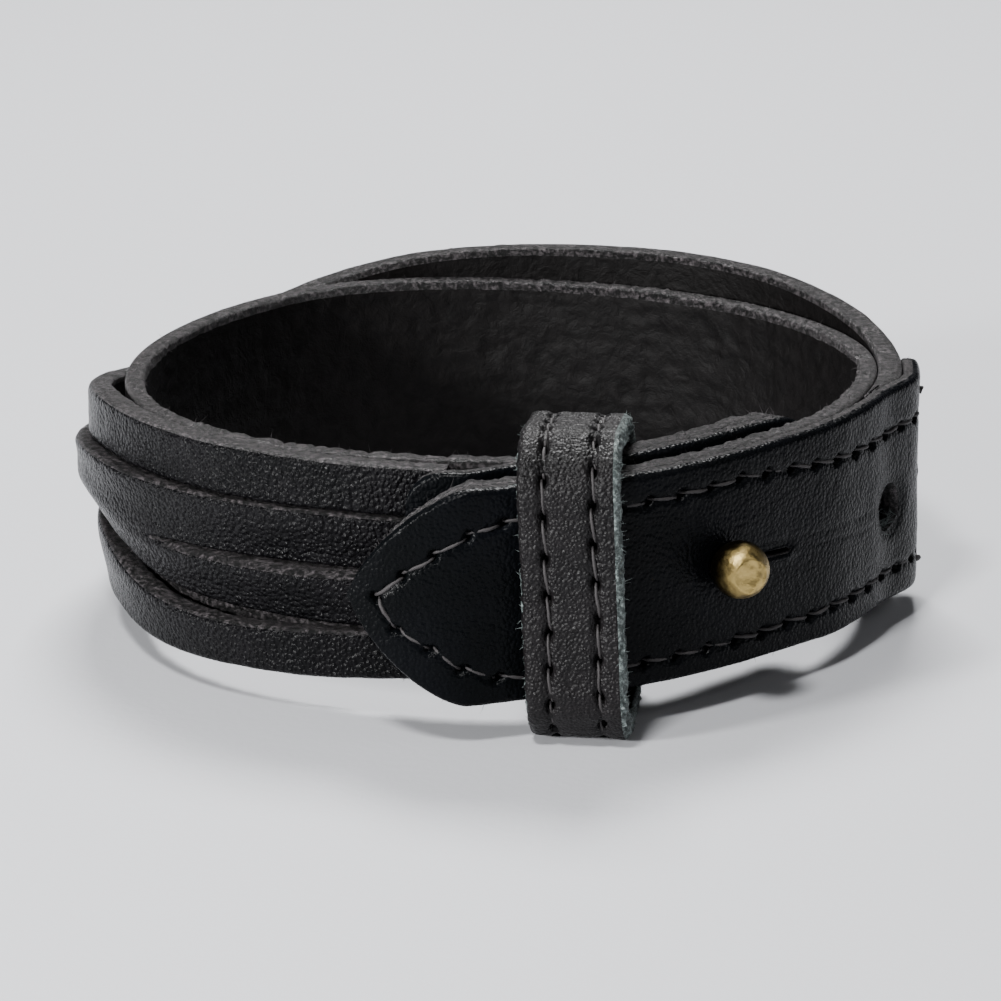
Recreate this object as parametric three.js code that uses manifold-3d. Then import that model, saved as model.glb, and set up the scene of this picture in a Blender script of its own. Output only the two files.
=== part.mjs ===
// Leather cuff bracelet, closed with a ball stud and lying on its side. Millimetres, +Z up.
// Every leather piece follows one spiral run: it starts at the stud tab's end at the right front,
// passes the front, the left, the back and the right, and lies over its own start at the front.
// A turn is an angle round the hollow in degrees: 0 is +X, 90 the front, 180 the left, 270 the back.

import * as THREE from 'three';
import { mergeVertices } from 'three/addons/utils/BufferGeometryUtils.js';
import Module from 'manifold-3d';

const wasm = await Module();
wasm.setup();

// Driving sizes of the band
const HOLLOW_RADIUS = 30; // reach of the hollow's wall at its widest
const BAND_HEIGHT = 18; // height of the strap
const LINING_WALL = 1.6;
const STRIP_WALL = 1.8;
const TAB_FACE_WALL = 1.2;
const STUD_FACE_WALL = 1.2;
const LAYER_GAP = 0.3; // clearance between two leathers that lie on each other
const SLIT_WIDTH = 0.45; // width of the slits between the strips
const EDGE_BEVEL = 0.3; // eased edge of every leather

// Driving sizes of the pointed tip
const TIP_LENGTH = 8.6;
const TIP_TAPER = 1.4; // 1 gives straight sides
const TIP_FULLNESS = 0.72; // under 1 rounds the nose
const TIP_NOSE_SHARE = 0.02; // where the nose is cut square, as a share of the tip's length

// Driving sizes of the holes
const KEYHOLE_RADIUS = 1.7;
const KEYHOLE_SLIT_LENGTH = 6.2; // from the round hole's middle to the slit's end
const KEYHOLE_SLIT_WIDTH = 0.6;
const SPARE_HOLE_RADIUS = 1.8;
const SPARE_HOLE_DROP = 1.2; // how much lower it sits than the keyhole
const STUD_TURN = 57.2;
const SPARE_HOLE_TURN = 14;
const HOLE_LINE = 0.5; // height of the holes, as a share of the strap's height at the stud

// Driving sizes of the stud
const BALL_RADIUS = 2.3;
const BALL_FLAT = 0.45; // depth of the struck flat on the ball
const POST_RADIUS = 1.0;
const POST_CLEARANCE = 0.3;
const BASE_RADIUS = 2.6;
const BASE_WALL = 0.8;

// Driving sizes of the keeper loop
const KEEPER_WALL = 1.7;
const KEEPER_WIDTH = 7.8;
const KEEPER_HEIGHT = 25.5; // at its front
const KEEPER_DROP = 2.1; // how much lower its back is
const KEEPER_BEND = 5.0; // outer radius of its four bends
const KEEPER_TURN = 80.5;
const KEEPER_YAW = 6; // degrees that it faces left of straight ahead
const KEEPER_SWAY = 2.3; // degrees that its sides lean
const KEEPER_CLEARANCE = 0.4;
const KEEPER_SEARCH_TURNS = 20; // turns either side of the keeper that can lie inside it

// Ends of the pieces along the run, in turns
const RUN_START_TURN = 29.2;
const RUN_END_TURN = 469;
const STUD_FACE_END_TURN = 103;
const STRIPS_START_TURN = 98;
const STRIPS_END_TURN = 369;
const SLIT_END_TURN = 146; // the two middle strips are one leather past this turn
const POINTED_FACE_START_TURN = 355;
const CORNER_STUD_END = 4.0; // corner radii of the leathers' ends
const CORNER_STUD_START = 2.6;
const CORNER_POINTED_START = 2.2;
const FULL_TURN = 360;
const STUD_FACE_RISE = 9; // turns over which the stud tab's face climbs onto the strips
const POINTED_FACE_FALL = 15; // turns over which the pointed face comes down off the strips
const FACE_LEAD = 2; // turns by which either is clear of the strips' ends
const FINE_STEP = 0.8; // turns between stations where an end is rounded
const HOLE_SIDES = 20;

// The strap's run. reach: inner face of the lining, as a share of the hollow's radius.
// foot and top: lower and upper edge of the lining over the floor, as shares of the strap's height.
const RUN = [
  { turn: 15, reach: 0.895, foot: 0.178, top: 1.135 },
  { turn: 30, reach: 0.853, foot: 0.178, top: 1.155 },
  { turn: 45, reach: 0.833, foot: 0.178, top: 1.172 },
  { turn: 60, reach: 0.860, foot: 0.178, top: 1.178 },
  { turn: 75, reach: 0.907, foot: 0.178, top: 1.178 },
  { turn: 90, reach: 0.928, foot: 0.175, top: 1.175 },
  { turn: 105, reach: 0.930, foot: 0.160, top: 1.170 },
  { turn: 120, reach: 0.953, foot: 0.140, top: 1.167 },
  { turn: 135, reach: 0.988, foot: 0.120, top: 1.165 },
  { turn: 150, reach: 1.010, foot: 0.100, top: 1.160 },
  { turn: 165, reach: 1.000, foot: 0.080, top: 1.150 },
  { turn: 180, reach: 0.980, foot: 0.060, top: 1.140 },
  { turn: 195, reach: 0.967, foot: 0.040, top: 1.130 },
  { turn: 210, reach: 0.968, foot: 0.024, top: 1.122 },
  { turn: 225, reach: 0.985, foot: 0.012, top: 1.117 },
  { turn: 240, reach: 1.003, foot: 0.004, top: 1.113 },
  { turn: 255, reach: 0.988, foot: 0.001, top: 1.111 },
  { turn: 270, reach: 0.953, foot: 0.000, top: 1.111 },
  { turn: 285, reach: 0.935, foot: 0.003, top: 1.111 },
  { turn: 300, reach: 0.942, foot: 0.012, top: 1.111 },
  { turn: 315, reach: 0.955, foot: 0.030, top: 1.115 },
  { turn: 330, reach: 0.970, foot: 0.055, top: 1.122 },
  { turn: 345, reach: 0.985, foot: 0.085, top: 1.130 },
  { turn: 360, reach: 0.983, foot: 0.120, top: 1.146 },
  { turn: 375, reach: 0.975, foot: 0.148, top: 1.156 },
  { turn: 390, reach: 0.970, foot: 0.158, top: 1.156 },
  { turn: 405, reach: 0.957, foot: 0.175, top: 1.156 },
  { turn: 420, reach: 0.983, foot: 0.188, top: 1.156 },
  { turn: 435, reach: 1.030, foot: 0.190, top: 1.156 },
  { turn: 445, reach: 1.052, foot: 0.188, top: 1.156 },
  { turn: 450, reach: 1.080, foot: 0.186, top: 1.156 },
  { turn: 455, reach: 1.114, foot: 0.184, top: 1.156 },
  { turn: 460, reach: 1.127, foot: 0.182, top: 1.156 },
  { turn: 466, reach: 1.127, foot: 0.182, top: 1.156 },
  { turn: 473, reach: 1.112, foot: 0.182, top: 1.156 },
];

// The outer strap's edges over the floor, as shares of the strap's height, and how far it stands
// off the lining past the layer gap, as a share of a strip's wall.
const STRAP = [
  { turn: 90, foot: 0.210, top: 1.160, stand: 0.00 },
  { turn: 105, foot: 0.200, top: 1.165, stand: 0.00 },
  { turn: 120, foot: 0.178, top: 1.170, stand: 0.00 },
  { turn: 135, foot: 0.162, top: 1.172, stand: 0.00 },
  { turn: 150, foot: 0.155, top: 1.172, stand: 0.05 },
  { turn: 165, foot: 0.185, top: 1.148, stand: 0.30 },
  { turn: 180, foot: 0.210, top: 1.068, stand: 0.70 },
  { turn: 190, foot: 0.210, top: 1.010, stand: 0.75 },
  { turn: 200, foot: 0.195, top: 0.957, stand: 0.65 },
  { turn: 212, foot: 0.165, top: 0.955, stand: 0.40 },
  { turn: 225, foot: 0.145, top: 1.015, stand: 0.22 },
  { turn: 240, foot: 0.135, top: 1.110, stand: 0.10 },
  { turn: 255, foot: 0.140, top: 1.200, stand: 0.10 },
  { turn: 270, foot: 0.152, top: 1.248, stand: 0.20 },
  { turn: 285, foot: 0.162, top: 1.260, stand: 0.45 },
  { turn: 300, foot: 0.168, top: 1.265, stand: 0.60 },
  { turn: 315, foot: 0.166, top: 1.258, stand: 0.45 },
  { turn: 330, foot: 0.158, top: 1.232, stand: 0.12 },
  { turn: 345, foot: 0.148, top: 1.190, stand: 0.00 },
  { turn: 360, foot: 0.145, top: 1.155, stand: 0.00 },
  { turn: 375, foot: 0.148, top: 1.150, stand: 0.00 },
];

// The slits' edges, as shares of the outer strap's height. below: where the bottom strip ends.
// above: where the middle strips start; at the left they curl up off the bottom one.
// middle and high: middles of the two upper slits.
const SLITS = [
  { turn: 90, below: 0.220, above: 0.230, middle: 0.497, high: 0.763 },
  { turn: 115, below: 0.215, above: 0.240, middle: 0.497, high: 0.763 },
  { turn: 132, below: 0.190, above: 0.258, middle: 0.497, high: 0.763 },
  { turn: 145, below: 0.190, above: 0.305, middle: 0.497, high: 0.763 },
  { turn: 155, below: 0.208, above: 0.385, middle: 0.497, high: 0.760 },
  { turn: 165, below: 0.255, above: 0.425, middle: 0.497, high: 0.750 },
  { turn: 180, below: 0.318, above: 0.402, middle: 0.497, high: 0.725 },
  { turn: 200, below: 0.285, above: 0.345, middle: 0.497, high: 0.720 },
  { turn: 215, below: 0.235, above: 0.280, middle: 0.497, high: 0.745 },
  { turn: 230, below: 0.215, above: 0.230, middle: 0.497, high: 0.763 },
  { turn: 375, below: 0.215, above: 0.225, middle: 0.497, high: 0.763 },
];

// How far each strip bulges past the strap's stand, as a share of a strip's wall.
const BULGE = {
  bottom: [
    { turn: 90, out: 0.00 },
    { turn: 105, out: 0.15 },
    { turn: 120, out: 0.40 },
    { turn: 135, out: 0.40 },
    { turn: 150, out: 0.10 },
    { turn: 165, out: -0.10 },
    { turn: 180, out: -0.45 },
    { turn: 200, out: -0.40 },
    { turn: 225, out: 0.00 },
    { turn: 375, out: 0.00 },
  ],
  middle: [
    { turn: 90, out: 0.00 },
    { turn: 110, out: 0.00 },
    { turn: 135, out: 0.05 },
    { turn: 150, out: 0.35 },
    { turn: 165, out: 0.60 },
    { turn: 180, out: 0.60 },
    { turn: 200, out: 0.50 },
    { turn: 225, out: 0.15 },
    { turn: 250, out: 0.00 },
    { turn: 375, out: 0.00 },
  ],
  top: [
    { turn: 90, out: 0.00 },
    { turn: 375, out: 0.00 },
  ],
};

const LEATHER_BLACK = 0x1c1b1d;
const LINING_BROWN = 0x1f1b1a;
const KEEPER_GREY = 0x242124;
const OLD_BRASS = 0x8a7446;

// Returns a function of the turn that passes smoothly through one column of a table.
function column(rows, key) {
  const turns = rows.map((row) => row.turn);
  const values = rows.map((row) => row[key]);
  const curve = new THREE.CubicInterpolant(turns, values, 1);
  return (turn) => curve.evaluate(turn)[0];
}

const runReach = column(RUN, 'reach');
const runFoot = column(RUN, 'foot');
const runTop = column(RUN, 'top');
const strapFoot = column(STRAP, 'foot');
const strapTop = column(STRAP, 'top');
const strapStand = column(STRAP, 'stand');
const slitBelow = column(SLITS, 'below');
const slitAbove = column(SLITS, 'above');
const slitMiddle = column(SLITS, 'middle');
const slitHigh = column(SLITS, 'high');

const innerFace = (turn) => HOLLOW_RADIUS * runReach(turn);
const outerFace = (turn) => innerFace(turn) + LINING_WALL;
const liningFoot = (turn) => Math.max(0, BAND_HEIGHT * runFoot(turn));
const liningTop = (turn) => BAND_HEIGHT * runTop(turn);

// The point at a turn, a radius from the hollow's middle and a height.
function place(turn, radius, height) {
  const angle = THREE.MathUtils.degToRad(turn);
  return new THREE.Vector3(radius * Math.cos(angle), -radius * Math.sin(angle), height);
}

// Turns along a piece: even steps, with finer ones where an end is rounded.
function stations(from, to, step, fineFrom, fineTo) {
  const turns = [];
  let turn = from;
  while (turn < to - FINE_STEP / 2) {
    turns.push(turn);
    const nearEnd = turn < from + fineFrom || turn > to - fineTo;
    turn += nearEnd ? FINE_STEP : Math.min(step, Math.max(FINE_STEP, to - fineTo - turn));
  }
  turns.push(to);
  return turns;
}

// How much a rounded corner takes off an edge, at a distance from the leather's end.
function cornerCut(distance, radius) {
  if (distance >= radius) {
    return 0;
  }
  const along = radius - Math.max(distance, radius * 0.02);
  return radius - Math.sqrt(radius * radius - along * along);
}

// Share of the full half height that the pointed tip keeps, at a distance from its nose.
function tipShare(distance) {
  const along = THREE.MathUtils.clamp(distance / TIP_LENGTH, TIP_NOSE_SHARE, 1);
  return Math.pow(1 - (1 - along) ** TIP_TAPER, TIP_FULLNESS);
}

// A closed band of leather. Each section is a bevelled rectangle from inner to inner + wall.
function band({ turns, inner, wall, foot, top }) {
  const positions = [];
  const index = [];
  const corners = 8;
  for (const turn of turns) {
    const low = foot(turn);
    const high = top(turn);
    const near = inner(turn);
    const far = near + wall;
    const bevel = Math.min(EDGE_BEVEL, (high - low) / 3);
    const profile = [
      [near + bevel, low],
      [far - bevel, low],
      [far, low + bevel],
      [far, high - bevel],
      [far - bevel, high],
      [near + bevel, high],
      [near, high - bevel],
      [near, low + bevel],
    ];
    for (const [radius, height] of profile) {
      positions.push(...place(turn, radius, height).toArray());
    }
  }
  for (let section = 0; section < turns.length - 1; section += 1) {
    for (let corner = 0; corner < corners; corner += 1) {
      const here = section * corners + corner;
      const beside = section * corners + (corner + 1) % corners;
      index.push(here, beside, here + corners);
      index.push(beside, beside + corners, here + corners);
    }
  }
  const last = (turns.length - 1) * corners;
  for (let corner = 1; corner < corners - 1; corner += 1) {
    index.push(0, corner + 1, corner);
    index.push(last, last + corner, last + corner + 1);
  }
  const geometry = new THREE.BufferGeometry();
  geometry.setAttribute('position', new THREE.Float32BufferAttribute(positions, 3));
  geometry.setIndex(index);
  return geometry;
}

// A closed geometry as a solid that can be joined and cut.
function toSolid(geometry) {
  const bare = geometry.clone();
  bare.deleteAttribute('normal');
  bare.deleteAttribute('uv');
  const merged = mergeVertices(bare, 1e-4);
  return new wasm.Manifold(new wasm.Mesh({
    numProp: 3,
    vertProperties: new Float32Array(merged.attributes.position.array),
    triVerts: new Uint32Array(merged.index.array),
  }));
}

function toGeometry(solid) {
  const mesh = solid.getMesh();
  const geometry = new THREE.BufferGeometry();
  geometry.setAttribute('position', new THREE.BufferAttribute(mesh.vertProperties, mesh.numProp));
  geometry.setIndex(new THREE.BufferAttribute(mesh.triVerts, 1));
  return geometry;
}

function piece(name, geometry, color, roughness, metalness) {
  const smooth = geometry.clone();
  smooth.computeVertexNormals();
  const material = new THREE.MeshStandardMaterial({ color, roughness, metalness });
  const mesh = new THREE.Mesh(smooth, material);
  mesh.name = name;
  return mesh;
}

// Moves a geometry whose own axis is +Z so that the axis points outward at a turn.
function aimOutward(geometry, turn, radius, height) {
  const outward = place(turn, 1, 0);
  const turned = new THREE.Quaternion().setFromUnitVectors(new THREE.Vector3(0, 0, 1), outward);
  const spot = place(turn, radius, height);
  return geometry.clone().applyMatrix4(new THREE.Matrix4().compose(spot, turned, new THREE.Vector3(1, 1, 1)));
}

// Tools that cut the holes
const holeHeight = THREE.MathUtils.lerp(
  liningFoot(FULL_TURN + STUD_TURN),
  liningTop(FULL_TURN + STUD_TURN),
  HOLE_LINE,
);
const spareHeight = holeHeight - SPARE_HOLE_DROP;
const CUT_REACH = 30; // length of a cutting tool, well past every wall
const CUT_MIDDLE = HOLLOW_RADIUS;

function roundCut(turn, radius, height) {
  const drill = new THREE.CylinderGeometry(radius, radius, CUT_REACH, HOLE_SIDES);
  drill.rotateX(Math.PI / 2);
  return toSolid(aimOutward(drill, turn, CUT_MIDDLE, height));
}

function slitCut() {
  const reach = outerFace(FULL_TURN + STUD_TURN);
  const span = THREE.MathUtils.radToDeg(KEYHOLE_SLIT_LENGTH / reach);
  const middle = STUD_TURN - span / 2;
  const blade = new THREE.BoxGeometry(KEYHOLE_SLIT_LENGTH, KEYHOLE_SLIT_WIDTH, CUT_REACH);
  const angle = THREE.MathUtils.degToRad(middle);
  const frame = new THREE.Matrix4().makeBasis(
    new THREE.Vector3(-Math.sin(angle), -Math.cos(angle), 0),
    new THREE.Vector3(0, 0, -1),
    new THREE.Vector3(Math.cos(angle), -Math.sin(angle), 0),
  );
  frame.setPosition(place(middle, CUT_MIDDLE, holeHeight));
  return toSolid(blade.applyMatrix4(frame));
}

// Lining: a rounded end inside the front, a pointed end outside it
const millimetresPerTurn = (turn) => THREE.MathUtils.degToRad(innerFace(turn));
const fromRunStart = (turn) => (turn - RUN_START_TURN) * millimetresPerTurn(RUN_START_TURN);
const toRunEnd = (turn) => (RUN_END_TURN - turn) * millimetresPerTurn(RUN_END_TURN);

function endCut(turn) {
  return cornerCut(fromRunStart(turn), CORNER_STUD_END);
}

function pointedEdge(turn, side) {
  const middle = (liningFoot(turn) + liningTop(turn)) / 2;
  const half = (liningTop(turn) - liningFoot(turn)) / 2;
  return middle + side * half * tipShare(toRunEnd(turn));
}

function lining() {
  const whole = band({
    turns: stations(RUN_START_TURN, RUN_END_TURN, 4, 8, 20),
    inner: innerFace,
    wall: LINING_WALL,
    foot: (turn) => pointedEdge(turn, -1) + endCut(turn),
    top: (turn) => pointedEdge(turn, 1) - endCut(turn),
  });
  // the stud's post fits tightly through the inner end and loosely through the outer one
  return toGeometry(toSolid(whole)
    .subtract(keyholeCut(outerEndOnly))
    .subtract(roundCut(STUD_TURN, POST_RADIUS + POST_CLEARANCE, holeHeight))
    .subtract(roundCut(SPARE_HOLE_TURN, SPARE_HOLE_RADIUS, spareHeight)));
}

// A wall that holds only what lies outside the strap's inner end
const outerEndOnly = toSolid(band({
  turns: stations(RUN_START_TURN - 2, 120, 4, 0, 0),
  inner: (turn) => outerFace(turn) + STUD_FACE_WALL + LAYER_GAP,
  wall: CUT_REACH,
  foot: () => -BAND_HEIGHT,
  top: () => 2 * BAND_HEIGHT,
}));

function keyholeCut(within) {
  return roundCut(STUD_TURN, KEYHOLE_RADIUS, holeHeight).add(slitCut()).intersect(within);
}

// Outer strap: four strips, the two middle ones joined past the slit's end
const strapEdge = (turn, share) => BAND_HEIGHT * THREE.MathUtils.lerp(strapFoot(turn), strapTop(turn), share);

function strip({ bulge, foot, top }) {
  const out = column(bulge, 'out');
  return band({
    turns: stations(STRIPS_START_TURN, STRIPS_END_TURN, 4, 0, 0),
    inner: (turn) => outerFace(turn) + LAYER_GAP
      + STRIP_WALL * Math.max(0, strapStand(turn) + out(turn)),
    wall: STRIP_WALL,
    foot,
    top,
  });
}

function topStrip() {
  return strip({
    bulge: BULGE.top,
    foot: (turn) => strapEdge(turn, slitHigh(turn)) + SLIT_WIDTH / 2,
    top: (turn) => strapEdge(turn, 1),
  });
}

function bottomStrip() {
  return strip({
    bulge: BULGE.bottom,
    foot: (turn) => strapEdge(turn, 0),
    top: (turn) => strapEdge(turn, slitBelow(turn)) - SLIT_WIDTH / 2,
  });
}

function middleStrips() {
  const whole = strip({
    bulge: BULGE.middle,
    foot: (turn) => strapEdge(turn, slitAbove(turn)) + SLIT_WIDTH / 2,
    top: (turn) => strapEdge(turn, slitHigh(turn)) - SLIT_WIDTH / 2,
  });
  const slit = band({
    turns: stations(STRIPS_START_TURN - 5, SLIT_END_TURN, 4, 0, 0),
    inner: (turn) => outerFace(turn) - STRIP_WALL,
    wall: CUT_REACH,
    foot: (turn) => strapEdge(turn, slitMiddle(turn)) - SLIT_WIDTH / 2,
    top: (turn) => strapEdge(turn, slitMiddle(turn)) + SLIT_WIDTH / 2,
  });
  return toGeometry(toSolid(whole).subtract(toSolid(slit)));
}

// Outer face of the closing tab, over the strips' ends and then over the lining
function pointedFace() {
  const overStrips = STRIP_WALL + LAYER_GAP;
  const settle = (turn) => THREE.MathUtils.smoothstep(
    turn,
    STRIPS_END_TURN + FACE_LEAD,
    STRIPS_END_TURN + FACE_LEAD + POINTED_FACE_FALL,
  );
  const start = (turn) => (turn - POINTED_FACE_START_TURN) * millimetresPerTurn(POINTED_FACE_START_TURN);
  const cut = (turn) => cornerCut(start(turn), CORNER_POINTED_START);
  const face = band({
    turns: stations(POINTED_FACE_START_TURN, RUN_END_TURN, 4, 6, 20),
    inner: (turn) => outerFace(turn) + LAYER_GAP + overStrips * (1 - settle(turn)),
    wall: TAB_FACE_WALL,
    foot: (turn) => pointedEdge(turn, -1) + cut(turn),
    top: (turn) => pointedEdge(turn, 1) - cut(turn),
  });
  return toGeometry(toSolid(face)
    .subtract(keyholeCut(outerEndOnly))
    .subtract(roundCut(SPARE_HOLE_TURN, SPARE_HOLE_RADIUS, spareHeight)));
}

// Outer face of the inner end, which rises over the strips' ends at its left
function studFace() {
  const overStrips = STRIP_WALL + LAYER_GAP;
  const rise = (turn) => THREE.MathUtils.smoothstep(
    turn,
    STRIPS_START_TURN - FACE_LEAD - STUD_FACE_RISE,
    STRIPS_START_TURN - FACE_LEAD,
  );
  const end = (turn) => (STUD_FACE_END_TURN - turn) * millimetresPerTurn(STUD_FACE_END_TURN);
  const cut = (turn) => endCut(turn) + cornerCut(end(turn), CORNER_STUD_START);
  const face = band({
    turns: stations(RUN_START_TURN, STUD_FACE_END_TURN, 3, 8, 14),
    inner: (turn) => outerFace(turn) + LAYER_GAP + overStrips * rise(turn),
    wall: STUD_FACE_WALL,
    foot: (turn) => liningFoot(turn) + cut(turn),
    top: (turn) => liningTop(turn) - cut(turn),
  });
  return toGeometry(toSolid(face).subtract(roundCut(STUD_TURN, POST_RADIUS + POST_CLEARANCE, holeHeight)));
}

// Ball stud: base inside, post through the leathers, ball outside with a struck flat
function stud() {
  const spread = Math.atan(BASE_RADIUS / innerFace(STUD_TURN));
  const rims = [-spread, 0, spread].map((angle) => (
    innerFace(STUD_TURN + THREE.MathUtils.radToDeg(angle)) * Math.cos(angle)
  ));
  const baseTop = Math.min(...rims) - LAYER_GAP;
  const leather = outerFace(FULL_TURN + STUD_TURN) + LAYER_GAP + TAB_FACE_WALL;
  const neck = Math.sqrt(BALL_RADIUS ** 2 - POST_RADIUS ** 2);
  const seat = KEYHOLE_RADIUS - LAYER_GAP;
  const ballMiddle = leather + Math.sqrt(BALL_RADIUS ** 2 - seat ** 2) - baseTop;
  const flat = BALL_RADIUS - BALL_FLAT;
  const profile = [
    new THREE.Vector2(0, -BASE_WALL),
    new THREE.Vector2(BASE_RADIUS - BASE_WALL / 2, -BASE_WALL),
    new THREE.Vector2(BASE_RADIUS, -BASE_WALL / 2),
    new THREE.Vector2(BASE_RADIUS, 0),
    new THREE.Vector2(POST_RADIUS, 0),
    new THREE.Vector2(POST_RADIUS, ballMiddle - neck),
  ];
  const first = Math.asin(POST_RADIUS / BALL_RADIUS);
  const last = Math.PI - Math.acos(flat / BALL_RADIUS);
  const rings = 9;
  for (let ring = 1; ring <= rings; ring += 1) {
    const angle = THREE.MathUtils.lerp(first, last, ring / rings);
    profile.push(new THREE.Vector2(BALL_RADIUS * Math.sin(angle), ballMiddle - BALL_RADIUS * Math.cos(angle)));
  }
  profile.push(new THREE.Vector2(0, ballMiddle + flat));
  const turned = new THREE.LatheGeometry(profile, 24);
  turned.rotateX(Math.PI / 2);
  return aimOutward(turned, STUD_TURN, baseTop, holeHeight);
}

// Rounded rectangle in the keeper's side view: x is its depth and y its height
function loopOutline(shape, depth, height, bend, lift) {
  const half = depth / 2;
  shape.moveTo(-half + bend, lift);
  shape.lineTo(half - bend, lift);
  shape.absarc(half - bend, lift + bend, bend, -Math.PI / 2, 0, false);
  shape.lineTo(half, lift + height - bend);
  shape.absarc(half - bend, lift + height - bend, bend, 0, Math.PI / 2, false);
  shape.lineTo(-half + bend, lift + height);
  shape.absarc(-half + bend, lift + height - bend, bend, Math.PI / 2, Math.PI, false);
  shape.lineTo(-half, lift + bend);
  shape.absarc(-half + bend, lift + bend, bend, Math.PI, Math.PI * 1.5, false);
  return shape;
}

// Keeper: a loose leather loop round the closed front, turned a little to the left
function keeper() {
  const facing = THREE.MathUtils.degToRad(90 + KEEPER_YAW);
  const outward = new THREE.Vector3(Math.cos(facing), -Math.sin(facing), 0);
  const across = new THREE.Vector3(-Math.sin(facing), -Math.cos(facing), 0);
  const tabFace = (turn) => outerFace(FULL_TURN + turn) + LAYER_GAP + TAB_FACE_WALL;
  const sway = Math.tan(THREE.MathUtils.degToRad(KEEPER_SWAY));
  const aside = place(KEEPER_TURN, tabFace(KEEPER_TURN), 0).dot(across);
  const span = KEEPER_WIDTH / 2 + sway * KEEPER_HEIGHT / 2;
  const fronts = [];
  const backs = [];
  for (let turn = KEEPER_TURN - KEEPER_SEARCH_TURNS; turn <= KEEPER_TURN + KEEPER_SEARCH_TURNS; turn += 0.25) {
    const outer = place(turn, tabFace(turn), 0);
    const inner = place(turn, innerFace(turn), 0);
    if (Math.abs(outer.dot(across) - aside) < span) {
      fronts.push(outer.dot(outward));
    }
    if (Math.abs(inner.dot(across) - aside) < span) {
      backs.push(inner.dot(outward));
    }
  }
  const front = Math.max(...fronts) + KEEPER_CLEARANCE;
  const back = Math.min(...backs) - KEEPER_CLEARANCE;
  const depth = front - back + 2 * KEEPER_WALL;
  const outline = loopOutline(new THREE.Shape(), depth, KEEPER_HEIGHT, KEEPER_BEND, 0);
  const hollow = loopOutline(
    new THREE.Path(),
    depth - 2 * KEEPER_WALL,
    KEEPER_HEIGHT - 2 * KEEPER_WALL,
    KEEPER_BEND - KEEPER_WALL,
    KEEPER_WALL,
  );
  outline.holes.push(hollow);
  const loop = new THREE.ExtrudeGeometry(outline, {
    depth: KEEPER_WIDTH,
    bevelEnabled: false,
    curveSegments: 8,
  });
  loop.translate(0, 0, -KEEPER_WIDTH / 2);
  const corners = loop.attributes.position;
  for (let corner = 0; corner < corners.count; corner += 1) {
    const share = 0.5 - corners.getX(corner) / depth;
    corners.setY(corner, corners.getY(corner) * (1 - share * KEEPER_DROP / KEEPER_HEIGHT));
  }
  const lean = new THREE.Matrix4().set(
    1, 0, 0, 0,
    0, 1, 0, 0,
    0, sway, 1, -sway * KEEPER_HEIGHT / 2,
    0, 0, 0, 1,
  );
  loop.applyMatrix4(lean);
  const spot = outward.clone().multiplyScalar((front + back) / 2).addScaledVector(across, aside);
  const frame = new THREE.Matrix4().makeBasis(outward, new THREE.Vector3(0, 0, 1), across);
  frame.setPosition(spot);
  return loop.applyMatrix4(frame);
}

const bracelet = new THREE.Group();
bracelet.add(piece('lining', lining(), LINING_BROWN, 0.8, 0));
bracelet.add(piece('strip_top', topStrip(), LEATHER_BLACK, 0.5, 0));
bracelet.add(piece('strip_middle', middleStrips(), LEATHER_BLACK, 0.5, 0));
bracelet.add(piece('strip_bottom', bottomStrip(), LEATHER_BLACK, 0.5, 0));
bracelet.add(piece('stud_tab', studFace(), LEATHER_BLACK, 0.5, 0));
bracelet.add(piece('pointed_tab', pointedFace(), LEATHER_BLACK, 0.45, 0));
bracelet.add(piece('stud', stud(), OLD_BRASS, 0.4, 1));
bracelet.add(piece('keeper', keeper(), KEEPER_GREY, 0.6, 0));

// The origin is on the floor under the middle of the bracelet's box
const box = new THREE.Box3().setFromObject(bracelet);
const middle = box.getCenter(new THREE.Vector3());
bracelet.position.set(-middle.x, -middle.y, -box.min.z);

export default bracelet;
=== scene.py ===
"""Leather cuff bracelet, closed with a ball stud: every surface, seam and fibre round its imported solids.

All shapes are worked out in millimetres and scaled to metres once, when a mesh is made.
A turn is an angle round the hollow in degrees: 0 is +X, 90 the front, 180 the left, 270 the back.
"""
from __future__ import annotations

import logging
import math
from dataclasses import dataclass, field
from enum import IntEnum
from typing import Callable, Sequence

import bmesh
import bpy
import numpy as np
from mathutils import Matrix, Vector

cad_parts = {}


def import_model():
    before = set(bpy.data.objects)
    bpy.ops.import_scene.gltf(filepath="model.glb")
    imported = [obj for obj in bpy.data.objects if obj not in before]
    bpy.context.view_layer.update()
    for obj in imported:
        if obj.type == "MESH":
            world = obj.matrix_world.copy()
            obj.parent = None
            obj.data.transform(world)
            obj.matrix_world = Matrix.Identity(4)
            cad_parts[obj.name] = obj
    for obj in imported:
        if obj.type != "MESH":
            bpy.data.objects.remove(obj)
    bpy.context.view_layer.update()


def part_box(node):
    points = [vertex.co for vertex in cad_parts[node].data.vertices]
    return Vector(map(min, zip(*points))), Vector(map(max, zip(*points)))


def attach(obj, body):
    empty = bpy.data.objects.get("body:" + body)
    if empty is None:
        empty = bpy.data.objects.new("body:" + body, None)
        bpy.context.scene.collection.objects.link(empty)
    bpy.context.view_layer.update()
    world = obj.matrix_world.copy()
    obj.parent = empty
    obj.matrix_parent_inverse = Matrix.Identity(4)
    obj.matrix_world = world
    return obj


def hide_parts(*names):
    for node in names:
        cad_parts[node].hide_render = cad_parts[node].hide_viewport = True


LOG = logging.getLogger("bracelet")
MM = 0.001
BODY = "root"
UP = np.array([0, 0, 1.0])
FULL_TURN = 360
FAR = 9.0  # millimetres, past the reach of every dent

Curve = Callable[[np.ndarray], np.ndarray]
# surface depth from the distance along a leather, the height, its share of the whole height, and the side
Relief = Callable[[np.ndarray, np.ndarray, np.ndarray, np.ndarray], np.ndarray]
Link = tuple[bpy.types.Node, str | int]


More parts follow.
